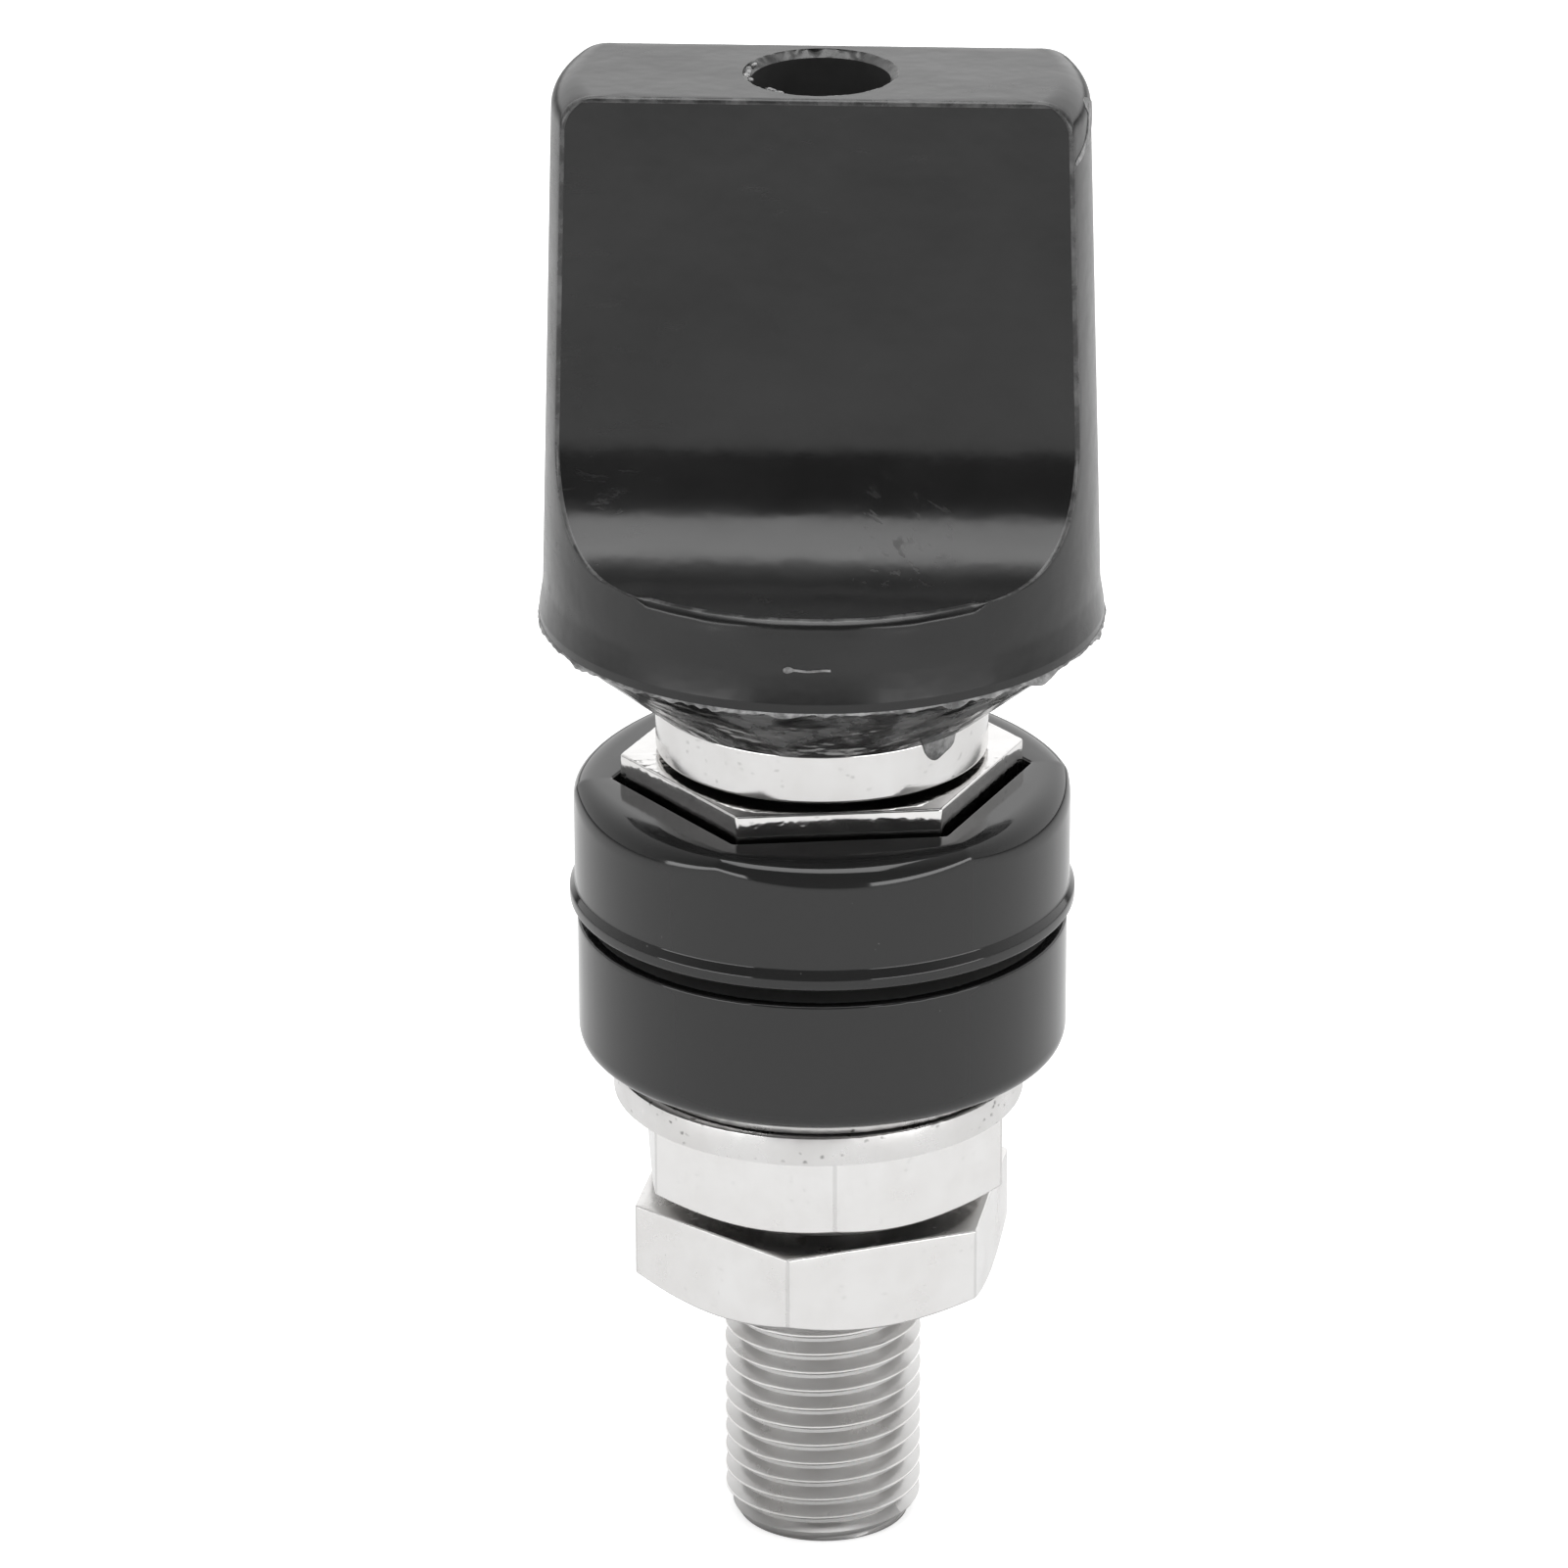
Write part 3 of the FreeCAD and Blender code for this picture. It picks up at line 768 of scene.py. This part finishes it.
def make_knob():
    """The knob: worn along its edges, whose paler grey is partly painted highlight, chipped at the top hole's
    mouth and rougher on the cone beneath.
    """
    bm = bmesh.new()
    rows = knob_rows()
    for side_x, side_y in [(1, 1), (-1, 1), (-1, -1), (1, -1)]:
        grid = []
        for row, worn_and_highlight_columns in rows:
            places = [chipped(Vector((side_x * p.x, side_y * p.y, p.z))) for p in row]
            grid.append(([bm.verts.new(place * MM) for place in places], worn_and_highlight_columns))
        for (upper, worn_and_highlight_columns), (lower, _) in zip(grid, grid[1:]):
            start, end = worn_and_highlight_columns or (0, 0)
            for i in range(QUARTER):
                face = bm.faces.new((upper[i], upper[i + 1], lower[i + 1], lower[i]))
                face.material_index = knob_finish(face, start <= i < end)
    piece = finish_mesh(bm, "knob_body", "knob", sharp=27)
    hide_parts("knob")
    return piece


# Mould flash and scrapes on the knob

def on_knob(radius, angle, z):
    """A place at a radius and a level, at an angle to the right of the camera's side."""
    return on_circle(radius, math.radians(CAMERA_AZIMUTH - 90 + angle), z)


def cone_level(radius):
    """Level of the cone's surface at a radius."""
    return KNOB_FOOT + CONE_HEIGHT * (radius - CONE_FOOT_RADIUS) / (reach_of("knob") - CONE_FOOT_RADIUS)


def make_strip(name, rails, thickness):
    """A thin raised strip between two rails of places on the knob."""
    bm = bmesh.new()
    rings = []
    for upper_end, lower_end in rails:
        out = away_from_axis(upper_end) * thickness
        corners = (upper_end, lower_end, lower_end + out, upper_end + out)
        rings.append([bm.verts.new(corner * MM) for corner in corners])
    for ring, following in zip(rings, rings[1:]):
        for j in range(4):
            bm.faces.new((ring[j], ring[(j + 1) % 4], following[(j + 1) % 4], following[j]))
    bm.faces.new(rings[0])
    bm.faces.new(rings[-1])
    return finish_mesh(bm, name, "knob")


def make_rim_flash():
    """The ragged fin that the mould's parting line leaves round the drum's lower edge."""
    radius = reach_of("knob")

    def profile(angle):
        place = on_circle(radius, math.radians(angle), 0)
        lobes = 0.34 * max(0, ragged(place, 1.8, seed=5))
        teeth = 0.1 * ragged(place, 0.45, seed=6)
        reach = 0.1 + lobes + teeth
        return [
            Vector((radius - 0.06, LIP_FOOT + 0.09)),
            Vector((radius - 0.12, LIP_FOOT - 0.05)),
            Vector((radius - 0.05 + 0.3 * reach, LIP_FOOT - reach)),
            Vector((radius + 0.03 + 0.3 * reach, LIP_FOOT - 0.4 * reach)),
        ]

    return finish_mesh(turned_mesh(round_angles(540), profile), "knob_rim_flash", "knob")


def make_flash_tongue():
    """A tongue of plastic that hangs from the cone's foot over the metal bush."""
    radius = reach_of("knob_insert") + 0.01
    rails = []
    for t in spaced(0, 1, 1 / 12):
        angle = TONGUE_START + TONGUE_SPAN * t
        bow = (1 - (2 * t - 1) ** 2) ** 0.6
        drop = TONGUE_LENGTH * bow * (1 + 0.15 * math.sin(7 * t))
        rails.append((on_knob(radius, angle, KNOB_FOOT + 0.1), on_knob(radius, angle, KNOB_FOOT - drop)))
    return make_strip("knob_flash_tongue", rails, thickness=0.06)


def make_flash_flake():
    """A pale flake of flash that lies along the cone, under the drum's edge."""
    rails = []
    for t in spaced(0, 1, 1 / 8):
        angle = FLAKE_START + FLAKE_SPAN * t
        high = FLAKE_RADIUS + t
        low = high - FLAKE_WIDTH * math.sin(math.pi * min(1, 0.25 + t))
        rails.append((on_knob(high, angle, cone_level(high)), on_knob(low, angle, cone_level(low))))
    return make_strip("knob_flash_flake", rails, thickness=0.08)


def make_flash_sliver():
    """A sliver of flash on the grip's side, under its upper corner."""
    rails = []
    for z, first, last in SLIVER:
        drop = max(0, z - CORNER_LEVEL)
        rounding = KNOB_CORNER_RADIUS - math.sqrt(KNOB_CORNER_RADIUS ** 2 - drop ** 2)
        radius = side_radius(z) - rounding - 0.02
        rails.append((on_knob(radius, first, z), on_knob(radius, last, z)))
    return make_strip("knob_flash_sliver", rails, thickness=0.07)


def make_crumbs():
    """Crumbs of plastic that still hang on the top hole's mouth."""
    bm = bmesh.new()
    for angle, radius, length, width in CRUMBS:
        made = bmesh.ops.create_icosphere(bm, subdivisions=4, radius=1)
        outwards = on_circle(1, math.radians(angle), 0)
        along = on_circle(1, math.radians(angle + 90), 0)
        middle = outwards * radius + Vector((0, 0, KNOB_TOP - 0.1))
        for vert in made["verts"]:
            place = vert.co + middle
            lump = vert.co * (1 + 0.3 * ragged(place, 0.5, seed=10) + 0.2 * ragged(place, 0.2, seed=11))
            spread = along * lump.x * length + outwards * lump.y * width
            vert.co = (middle + spread + Vector((0, 0, lump.z * width * 0.8))) * MM
    return finish_mesh(bm, "knob_crumbs", "knob", sharp=60)


def make_scrape():
    """A scrape on the drum: a thin raised curl of plastic with a thicker start."""
    rails = []
    for t in spaced(0, 1, 1 / 14):
        angle = SCRAPE_START + SCRAPE_SPAN * t
        z = SCRAPE_LEVEL + 0.03 * math.sin(9 * t)
        half = SCRAPE_HALF + 0.13 * math.exp(-((t - 0.1) / 0.07) ** 2)
        radius = side_radius(z) - 0.02
        rails.append((on_knob(radius, angle, z + half), on_knob(radius, angle, z - half)))
    return make_strip("knob_scrape", rails, thickness=0.09)


# Materials

# Middle of the scuffed place in the front scoop's hollow, and how far the scuffs reach from it
SCUFFED_PLACE = (3.8 * MM, -7.1 * MM, 21.3 * MM)
SCUFFED_REACH = 3.6 * MM

# Index of refraction of all the plastics. The metals don't use it.
PLASTIC_IOR = 1.5


class Nodes:
    """Short calls for building one material's nodes."""

    def __init__(self, name):
        self.material = bpy.data.materials.new(name)
        self.material.use_nodes = True
        self.tree = self.material.node_tree
        self.tree.nodes.clear()
        self.output = self.tree.nodes.new("ShaderNodeOutputMaterial")
        self.place = self.make("TexCoord").outputs["Object"]

    def make(self, kind, links=None, **values):
        """A node with its properties set, and its inputs set to values or linked to sockets."""
        node = self.tree.nodes.new("ShaderNode" + kind)
        for key, value in values.items():
            setattr(node, key, value)
        for key, value in (links or {}).items():
            socket = node.inputs[key]
            if isinstance(value, bpy.types.NodeSocket):
                self.tree.links.new(value, socket)
            else:
                socket.default_value = value
        return node

    def scaled(self, x, y, z):
        """The object's coordinates, stretched or squeezed along each axis."""
        return self.make("Mapping", {"Vector": self.place, "Scale": (x, y, z)}).outputs[0]

    def around(self, rise):
        """Coordinates that change round the axis, and with the height times a factor, but not outwards."""
        flat = self.make("VectorMath", {0: self.scaled(1, 1, 0)}, operation="NORMALIZE").outputs[0]
        ring = self.make("VectorMath", {0: flat, "Scale": 10 * MM}, operation="SCALE").outputs[0]
        return self.make("VectorMath", {0: ring, 1: self.scaled(0, 0, rise)}, operation="ADD").outputs[0]

    def noise(self, scale, detail=3.0, roughness=0.5, distortion=0.0, vector=None):
        """Cloudy noise, about 0.5 on the whole."""
        links = {"Vector": vector or self.place, "Scale": scale, "Detail": detail, "Roughness": roughness,
                 "Distortion": distortion}
        return self.make("TexNoise", links).outputs[0]

    def cells(self, scale, vector=None):
        """Distance to the nearest of a scatter of points."""
        links = {"Vector": vector or self.place, "Scale": scale}
        return self.make("TexVoronoi", links).outputs["Distance"]

    def map(self, value, low, high, to_low=0.0, to_high=1.0):
        """A value taken from one range to another, and held inside it."""
        links = {"Value": value, "From Min": low, "From Max": high, "To Min": to_low, "To Max": to_high}
        return self.make("MapRange", links).outputs[0]

    def math(self, operation, a, b):
        """Two values taken together, such as added or multiplied."""
        return self.make("Math", {0: a, 1: b}, operation=operation).outputs[0]

    def mix(self, share, a, b):
        """A colour between two others."""
        return self.make("Mix", {0: share, 6: a, 7: b}, data_type="RGBA").outputs[2]

    def bumps(self, *layers):
        """Bumps on top of one another, each as (height, millimetres that a height of 1 stands proud)."""
        below = {}
        for height, depth in layers:
            node = self.make("Bump", {"Height": height, "Distance": depth * MM, **below})
            below = {"Normal": node.outputs[0]}
        return node.outputs[0]

    def shader(self, **links):
        """The material, with a plain surface shader as its output."""
        named = {key.replace("_", " "): value for key, value in links.items()}
        node = self.make("BsdfPrincipled", {"IOR": PLASTIC_IOR, **named})
        self.tree.links.new(node.outputs[0], self.output.inputs[0])
        return self.material


def grey(value, warmth=0.0):
    """A grey that can lean a little towards yellow."""
    return (value * (1 + warmth), value, value * (1 - warmth), 1.0)


def slanted_scratches(n):
    """Short scratches that slope down to the right, only near the scuffed place."""
    away = n.make("VectorMath", {0: n.place, 1: SCUFFED_PLACE}, operation="DISTANCE").outputs["Value"]
    slant = {"Vector": n.place, "Rotation": (0, 0.7, 0), "Scale": (3.3, 1, 0.6)}
    slanted = n.make("Mapping", slant, vector_type="TEXTURE").outputs[0]
    scratches = n.map(n.noise(1300, 3, 0.6, 0.3, slanted), 0.56, 0.66)
    return n.math("MULTIPLY", scratches, n.map(away, SCUFFED_REACH, 0.3 * SCUFFED_REACH))


def knob_plastic():
    """Moulded black plastic, a little worn: faint streaks, scuffs and a soft unevenness."""
    n = Nodes("knob plastic")
    streaks = n.noise(900, 4, 0.65, 0.0, n.scaled(0.25, 1, 1.6))
    smudges = n.noise(110, 4, 0.6)
    scuffs = n.map(n.noise(700, 5, 0.7, 0.4, n.scaled(0.35, 1, 1.4)), 0.6, 0.78)
    scuffs = n.math("MULTIPLY", scuffs, n.map(n.noise(130, 2), 0.5, 0.66))
    scuffs = n.math("MAXIMUM", scuffs, slanted_scratches(n))
    haze = n.map(n.noise(85, 4, 0.6, 0.3), 0.36, 0.64)
    colour = n.mix(n.math("MULTIPLY", scuffs, 0.5), n.mix(haze, grey(0.0045), grey(0.0125)), grey(0.05))
    roughness = n.math("ADD", n.map(smudges, 0.3, 0.7, 0.16, 0.26), n.math("MULTIPLY", scuffs, 0.25))
    roughness = n.math("ADD", roughness, n.map(streaks, 0.35, 0.7, 0.0, 0.04))
    soft = n.noise(240, 3, 0.55)
    normal = n.bumps((n.noise(70, 2), 0.05), (soft, 0.07), (streaks, 0.0012), (scuffs, 0.004))
    return n.shader(Base_Color=colour, Roughness=roughness, Normal=normal)


def worn_and_highlight_edge_plastic():
    """The knob's edges, grey in places: partly where rubbing and mould flash have turned the plastic grey,
    partly as painted highlight of the rounded edges.
    """
    n = Nodes("worn knob edge with painted highlight")
    wear = n.map(n.noise(700, 4, 0.6), 0.4, 0.66)
    colour = n.mix(wear, grey(0.03), grey(0.11))
    normal = n.bumps((n.noise(1100, 3, 0.5), 0.003))
    return n.shader(Base_Color=colour, Roughness=n.map(wear, 0, 1, 0.22, 0.36), Normal=normal)


def cone_plastic():
    """The rough moulding under the knob: blotched, with smears and shallow dents."""
    n = Nodes("cone plastic")
    blotches = n.map(n.noise(480, 4, 0.55, 0.2, n.around(1.4)), 0.47, 0.62)
    dents = n.noise(520, 2, 0.5, 0.1, n.around(1.4))
    normal = n.bumps((dents, 0.3), (n.noise(2600, 3), 0.008))
    colour = n.mix(n.math("MULTIPLY", blotches, 0.8), grey(0.014), grey(0.12))
    return n.shader(Base_Color=colour, Roughness=n.map(blotches, 0, 1, 0.14, 0.34), Normal=normal)


def hole_plastic():
    """The wall of the top hole, dulled by the drill."""
    n = Nodes("hole wall")
    grain = n.noise(600, 3, 0.6)
    return n.shader(Base_Color=n.mix(grain, grey(0.035), grey(0.065)), Roughness=0.4,
                    Normal=n.bumps((grain, 0.01)))


def flash_plastic():
    """Thin mould flash: greyer than the moulding, because it is thin and scuffed."""
    n = Nodes("thin flash")
    patches = n.map(n.noise(1100, 4, 0.65), 0.4, 0.62)
    colour = n.mix(patches, grey(0.10), grey(0.34))
    return n.shader(Base_Color=colour, Roughness=0.35, Normal=n.bumps((patches, 0.03)))


def pale_flash_plastic():
    """Flash so thin that it looks nearly white."""
    n = Nodes("pale flash")
    patches = n.map(n.noise(800, 3, 0.6), 0.4, 0.62)
    return n.shader(Base_Color=n.mix(patches, grey(0.2), grey(0.42)), Roughness=0.3)


def bush_plastic():
    """Glossy black plastic with hardly a mark on it."""
    n = Nodes("bush plastic")
    smears = n.noise(240, 5, 0.65)
    specks = n.map(n.cells(900), 0.045, 0.02)
    specks = n.math("MULTIPLY", specks, n.map(n.noise(300, 2), 0.55, 0.62))
    colour = n.mix(n.math("MULTIPLY", specks, 0.6), grey(0.017), grey(0.12))
    roughness = n.map(smears, 0.35, 0.75, 0.06, 0.13)
    normal = n.bumps((n.noise(110, 2), 0.03), (specks, 0.01))
    return n.shader(Base_Color=colour, Roughness=roughness, Normal=normal)


def painted_gap_light_plastic():
    """The hidden face between the bushes, paler than the bushes: painted light in the gap."""
    n = Nodes("gap plastic with painted light")
    dust = n.noise(400, 4, 0.6)
    return n.shader(Base_Color=n.mix(dust, grey(0.12), grey(0.22)), Roughness=0.5)


def plated_metal(name, tone, rough, pit_share=0.0, turning_depth=0.0008, wave_depth=0.0):
    """Nickel plate: pale and slightly warm, with turning marks, small pits, dull patches and slow waves."""
    n = Nodes(name)
    patches = n.noise(220, 5, 0.65)
    drift = n.make("TexNoise", {"Vector": n.place, "Scale": 1600.0, "Detail": 2.0}).outputs["Color"]
    sway = n.make("VectorMath", {0: drift, "Scale": 0.5 * MM}, operation="SCALE").outputs[0]
    warped = n.make("VectorMath", {0: n.scaled(1, 1, 1.4), 1: sway}, operation="ADD").outputs[0]
    pits = n.map(n.cells(1500, warped), 0.26, 0.1)
    pits = n.math("MULTIPLY", pits, n.map(n.noise(500, 3, 0.6), 0.49, 0.58))
    pits = n.math("MULTIPLY", pits, pit_share)
    colour = n.mix(n.map(patches, 0.35, 0.7), grey(tone, 0.008), grey(tone * 0.9, 0.016))
    colour = n.mix(pits, colour, grey(tone * 0.22, 0.03))
    roughness = n.math("ADD", n.map(patches, 0.3, 0.75, *rough), n.math("MULTIPLY", pits, 0.2))
    turning = n.noise(500, 3, 0.6, 0.0, n.scaled(0.06, 0.06, 6))
    waves = n.noise(650, 3, 0.55)
    fine = n.noise(900, 4, 0.6)
    normal = n.bumps((waves, wave_depth), (turning, turning_depth), (pits, -0.012), (fine, 0.0035))
    return n.shader(Base_Color=colour, Metallic=1.0, Roughness=roughness, Normal=normal)


# Studio

# The camera, in metres and degrees: how far and which way it stands from the spot that it looks at, and where
# that spot is. The lens and the sensor are in millimetres.
CAMERA_DISTANCE = 426.8 * MM
CAMERA_ELEVATION = 22.384
CAMERA_AZIMUTH = 3.1
CAMERA_ROLL = -0.199
LOOK_AT_SIDE = -1.848 * MM
LOOK_AT_LEVEL = 5.61 * MM
LENS = 201.64
SENSOR = 36

# Half the floor's width and the distances between which its colour grows darker, as painted shade, where
# the object reflects it, and how far each lamp stands from the object, all in metres
FLOOR_HALF = 3
FLOOR_BRIGHT_RADIUS = 0.22
FLOOR_DIM_RADIUS = 0.95
LAMP_DISTANCE = 0.6


def direction(azimuth, elevation):
    """The way from the object towards a place in the studio. Azimuth 0 is on the side of -Y."""
    a, e = math.radians(azimuth), math.radians(elevation)
    return Vector((math.sin(a) * math.cos(e), -math.cos(a) * math.cos(e), math.sin(e)))


def make_camera():
    """The photo's camera, which looks a little past the post's axis."""
    data = bpy.data.cameras.new("camera")
    data.lens = LENS
    data.sensor_width = SENSOR
    data.clip_start = 0.01
    data.clip_end = 20
    camera = add_object("camera", data)
    back = direction(CAMERA_AZIMUTH, CAMERA_ELEVATION)
    right = direction(CAMERA_AZIMUTH + 90, 0)
    target = right * LOOK_AT_SIDE + Vector((0, 0, LOOK_AT_LEVEL))
    turn = Matrix((right, back.cross(right), back)).transposed().to_4x4()
    turn = turn @ Matrix.Rotation(math.radians(CAMERA_ROLL), 4, "Z")
    camera.matrix_world = Matrix.Translation(target + back * CAMERA_DISTANCE) @ turn
    bpy.context.scene.camera = camera


def soft_lamp(name, azimuth, elevation, width, height, power):
    """A soft lamp that faces the object."""
    data = bpy.data.lights.new(name, "AREA")
    data.shape = "RECTANGLE"
    data.size = width
    data.size_y = height
    data.energy = power
    lamp = add_object(name, data)
    back = direction(azimuth, elevation)
    lamp.rotation_mode = "QUATERNION"
    lamp.rotation_quaternion = (-back).to_track_quat("-Z", "Y")
    lamp.location = back * LAMP_DISTANCE


def make_floor():
    """A wide pale floor that the camera sees as white, with the object's soft shadow on it. In reflections
    its colour darkens away from the object: painted shade.

    From below it is clear, so that a view from there shows the object.
    """
    bm = bmesh.new()
    bmesh.ops.create_grid(bm, x_segments=1, y_segments=1, size=FLOOR_HALF)
    mesh = bpy.data.meshes.new("floor")
    bm.to_mesh(mesh)
    bm.free()
    floor = add_object("floor", mesh)
    floor.location.z = STUD_END * MM
    n = Nodes("floor")
    path = n.make("LightPath").outputs
    seen = n.math("MAXIMUM", path["Is Camera Ray"], path["Is Transmission Ray"])
    away = n.make("VectorMath", {0: n.scaled(1, 1, 0)}, operation="LENGTH").outputs["Value"]
    # Painted shade: the floor's colour darkens away from the object, in reflections only
    painted_dimming = n.map(away, FLOOR_BRIGHT_RADIUS, FLOOR_DIM_RADIUS)
    painted_dimming = n.math("MULTIPLY", painted_dimming, n.math("SUBTRACT", 1.0, seen))
    paper = n.make("BsdfDiffuse", {"Color": n.mix(painted_dimming, grey(0.85), grey(0.12))}).outputs[0]
    glow = n.make("Emission", {"Color": grey(1.0), "Strength": n.math("MULTIPLY", seen, 0.55)}).outputs[0]
    both = n.make("AddShader", {0: paper, 1: glow}).outputs[0]
    clear = n.make("BsdfTransparent").outputs[0]
    from_below = n.make("NewGeometry").outputs["Backfacing"]
    final = n.make("MixShader", {0: from_below, 1: both, 2: clear}).outputs[0]
    n.tree.links.new(final, n.output.inputs[0])
    mesh.materials.append(n.material)


def make_world():
    """A pale room: bright behind and a little more so at the right, dim in front, and white to the camera."""
    world = bpy.data.worlds.new("studio")
    bpy.context.scene.world = world
    world.use_nodes = True
    tree = world.node_tree
    tree.nodes.clear()
    new, link = tree.nodes.new, tree.links.new
    place = new("ShaderNodeTexCoord")
    split = new("ShaderNodeSeparateXYZ")
    link(place.outputs["Generated"], split.inputs[0])

    def ramp(axis, **limits):
        """A strength that grows along an axis of the room."""
        node = new("ShaderNodeMapRange")
        link(split.outputs[axis], node.inputs["Value"])
        for key, value in limits.items():
            node.inputs[key.replace("_", " ")].default_value = value
        return node.outputs[0]

    strength = new("ShaderNodeMath")
    strength.operation = "MULTIPLY"
    link(ramp("Y", From_Min=-0.6, From_Max=0.9, To_Min=0.13, To_Max=1.4), strength.inputs[0])
    link(ramp("X", From_Min=-0.6, From_Max=0.6, To_Min=1.0, To_Max=1.25), strength.inputs[1])
    room = new("ShaderNodeBackground")
    link(strength.outputs[0], room.inputs["Strength"])
    white = new("ShaderNodeBackground")
    white.inputs["Color"].default_value = grey(1.0)
    white.inputs["Strength"].default_value = 1.0
    path = new("ShaderNodeLightPath")
    choose = new("ShaderNodeMixShader")
    link(path.outputs["Is Camera Ray"], choose.inputs[0])
    link(room.outputs[0], choose.inputs[1])
    link(white.outputs[0], choose.inputs[2])
    output = new("ShaderNodeOutputWorld")
    link(choose.outputs[0], output.inputs[0])


def dress(piece, *materials):
    """Give a piece its materials, in the order of its faces' indices."""
    for material in materials:
        piece.data.materials.append(material)


def make_post():
    """All the visible pieces, each with its materials."""
    glossy = bush_plastic()
    # Rougher plate for the thread's lower flanks and the nuts' chamfers; its darker tone is painted shade
    dull_shaded_plate = plated_metal("dull nickel plate with painted shade", tone=0.5, rough=(0.25, 0.4), pit_share=0.1)
    dress(make_knob(), knob_plastic(), worn_and_highlight_edge_plastic(), cone_plastic(), hole_plastic())
    dress(make_bush(), plated_metal("turned nickel plate", tone=0.72, rough=(0.12, 0.22), pit_share=0.25,
                                    turning_depth=0.001))
    thread_plate = plated_metal("thread nickel plate", tone=0.59, rough=(0.2, 0.3))
    # Glossier plate on the crests; its paler tone is painted highlight
    crest_highlight_plate = plated_metal("crest nickel plate with painted highlight", tone=0.88, rough=(0.08, 0.16))
    # Rougher plate at the stud's end; its darker tone is painted shade
    end_shade_plate = plated_metal("stud end nickel plate with painted shade", tone=0.5, rough=(0.42, 0.5))
    dress(make_shaft(), thread_plate, crest_highlight_plate, dull_shaded_plate, end_shade_plate)
    dress(make_collar(), plated_metal("collar nickel plate", tone=0.8, rough=(0.05, 0.14), pit_share=0.35,
                                      turning_depth=0.0003, wave_depth=0.035))
    dress(make_upper_insulator(), glossy)
    dress(make_lower_insulator(), glossy, painted_gap_light_plastic())
    washer_plate = plated_metal("washer nickel plate", tone=0.71, rough=(0.22, 0.4), pit_share=1.0)
    dress(make_thin_washer(), washer_plate)
    dress(make_thick_washer(), washer_plate)
    nut_plate = plated_metal("nut nickel plate", tone=0.78, rough=(0.18, 0.32), pit_share=0.1)
    # Darker plate along the nuts' corners: painted shade lines
    corner_shade_plate = plated_metal("nut corner nickel plate with painted shade", tone=0.68, rough=(0.22, 0.34), pit_share=0.1)
    for name, node, body, turn in (("nut_upper", "panel_nut", "post", PANEL_NUT_TURN),
                                   ("nut_lower", "terminal_nut", "lower_nut", TERMINAL_NUT_TURN)):
        dress(make_nut(name, node, body, turn), nut_plate, dull_shaded_plate, corner_shade_plate)
    thin_flash, pale_flash = flash_plastic(), pale_flash_plastic()
    for make in (make_rim_flash, make_flash_tongue, make_flash_sliver, make_scrape):
        dress(make(), thin_flash)
    for make in (make_flash_flake, make_crumbs):
        dress(make(), pale_flash)


make_camera()
make_post()
make_floor()
make_world()
soft_lamp("overhead", azimuth=0, elevation=78, width=0.5, height=0.52, power=2.9)
soft_lamp("left", azimuth=-50, elevation=3, width=0.5, height=0.11, power=0.8)
soft_lamp("right", azimuth=50, elevation=3, width=0.6, height=0.11, power=0.95)
bpy.context.scene.view_settings.view_transform = "Standard"
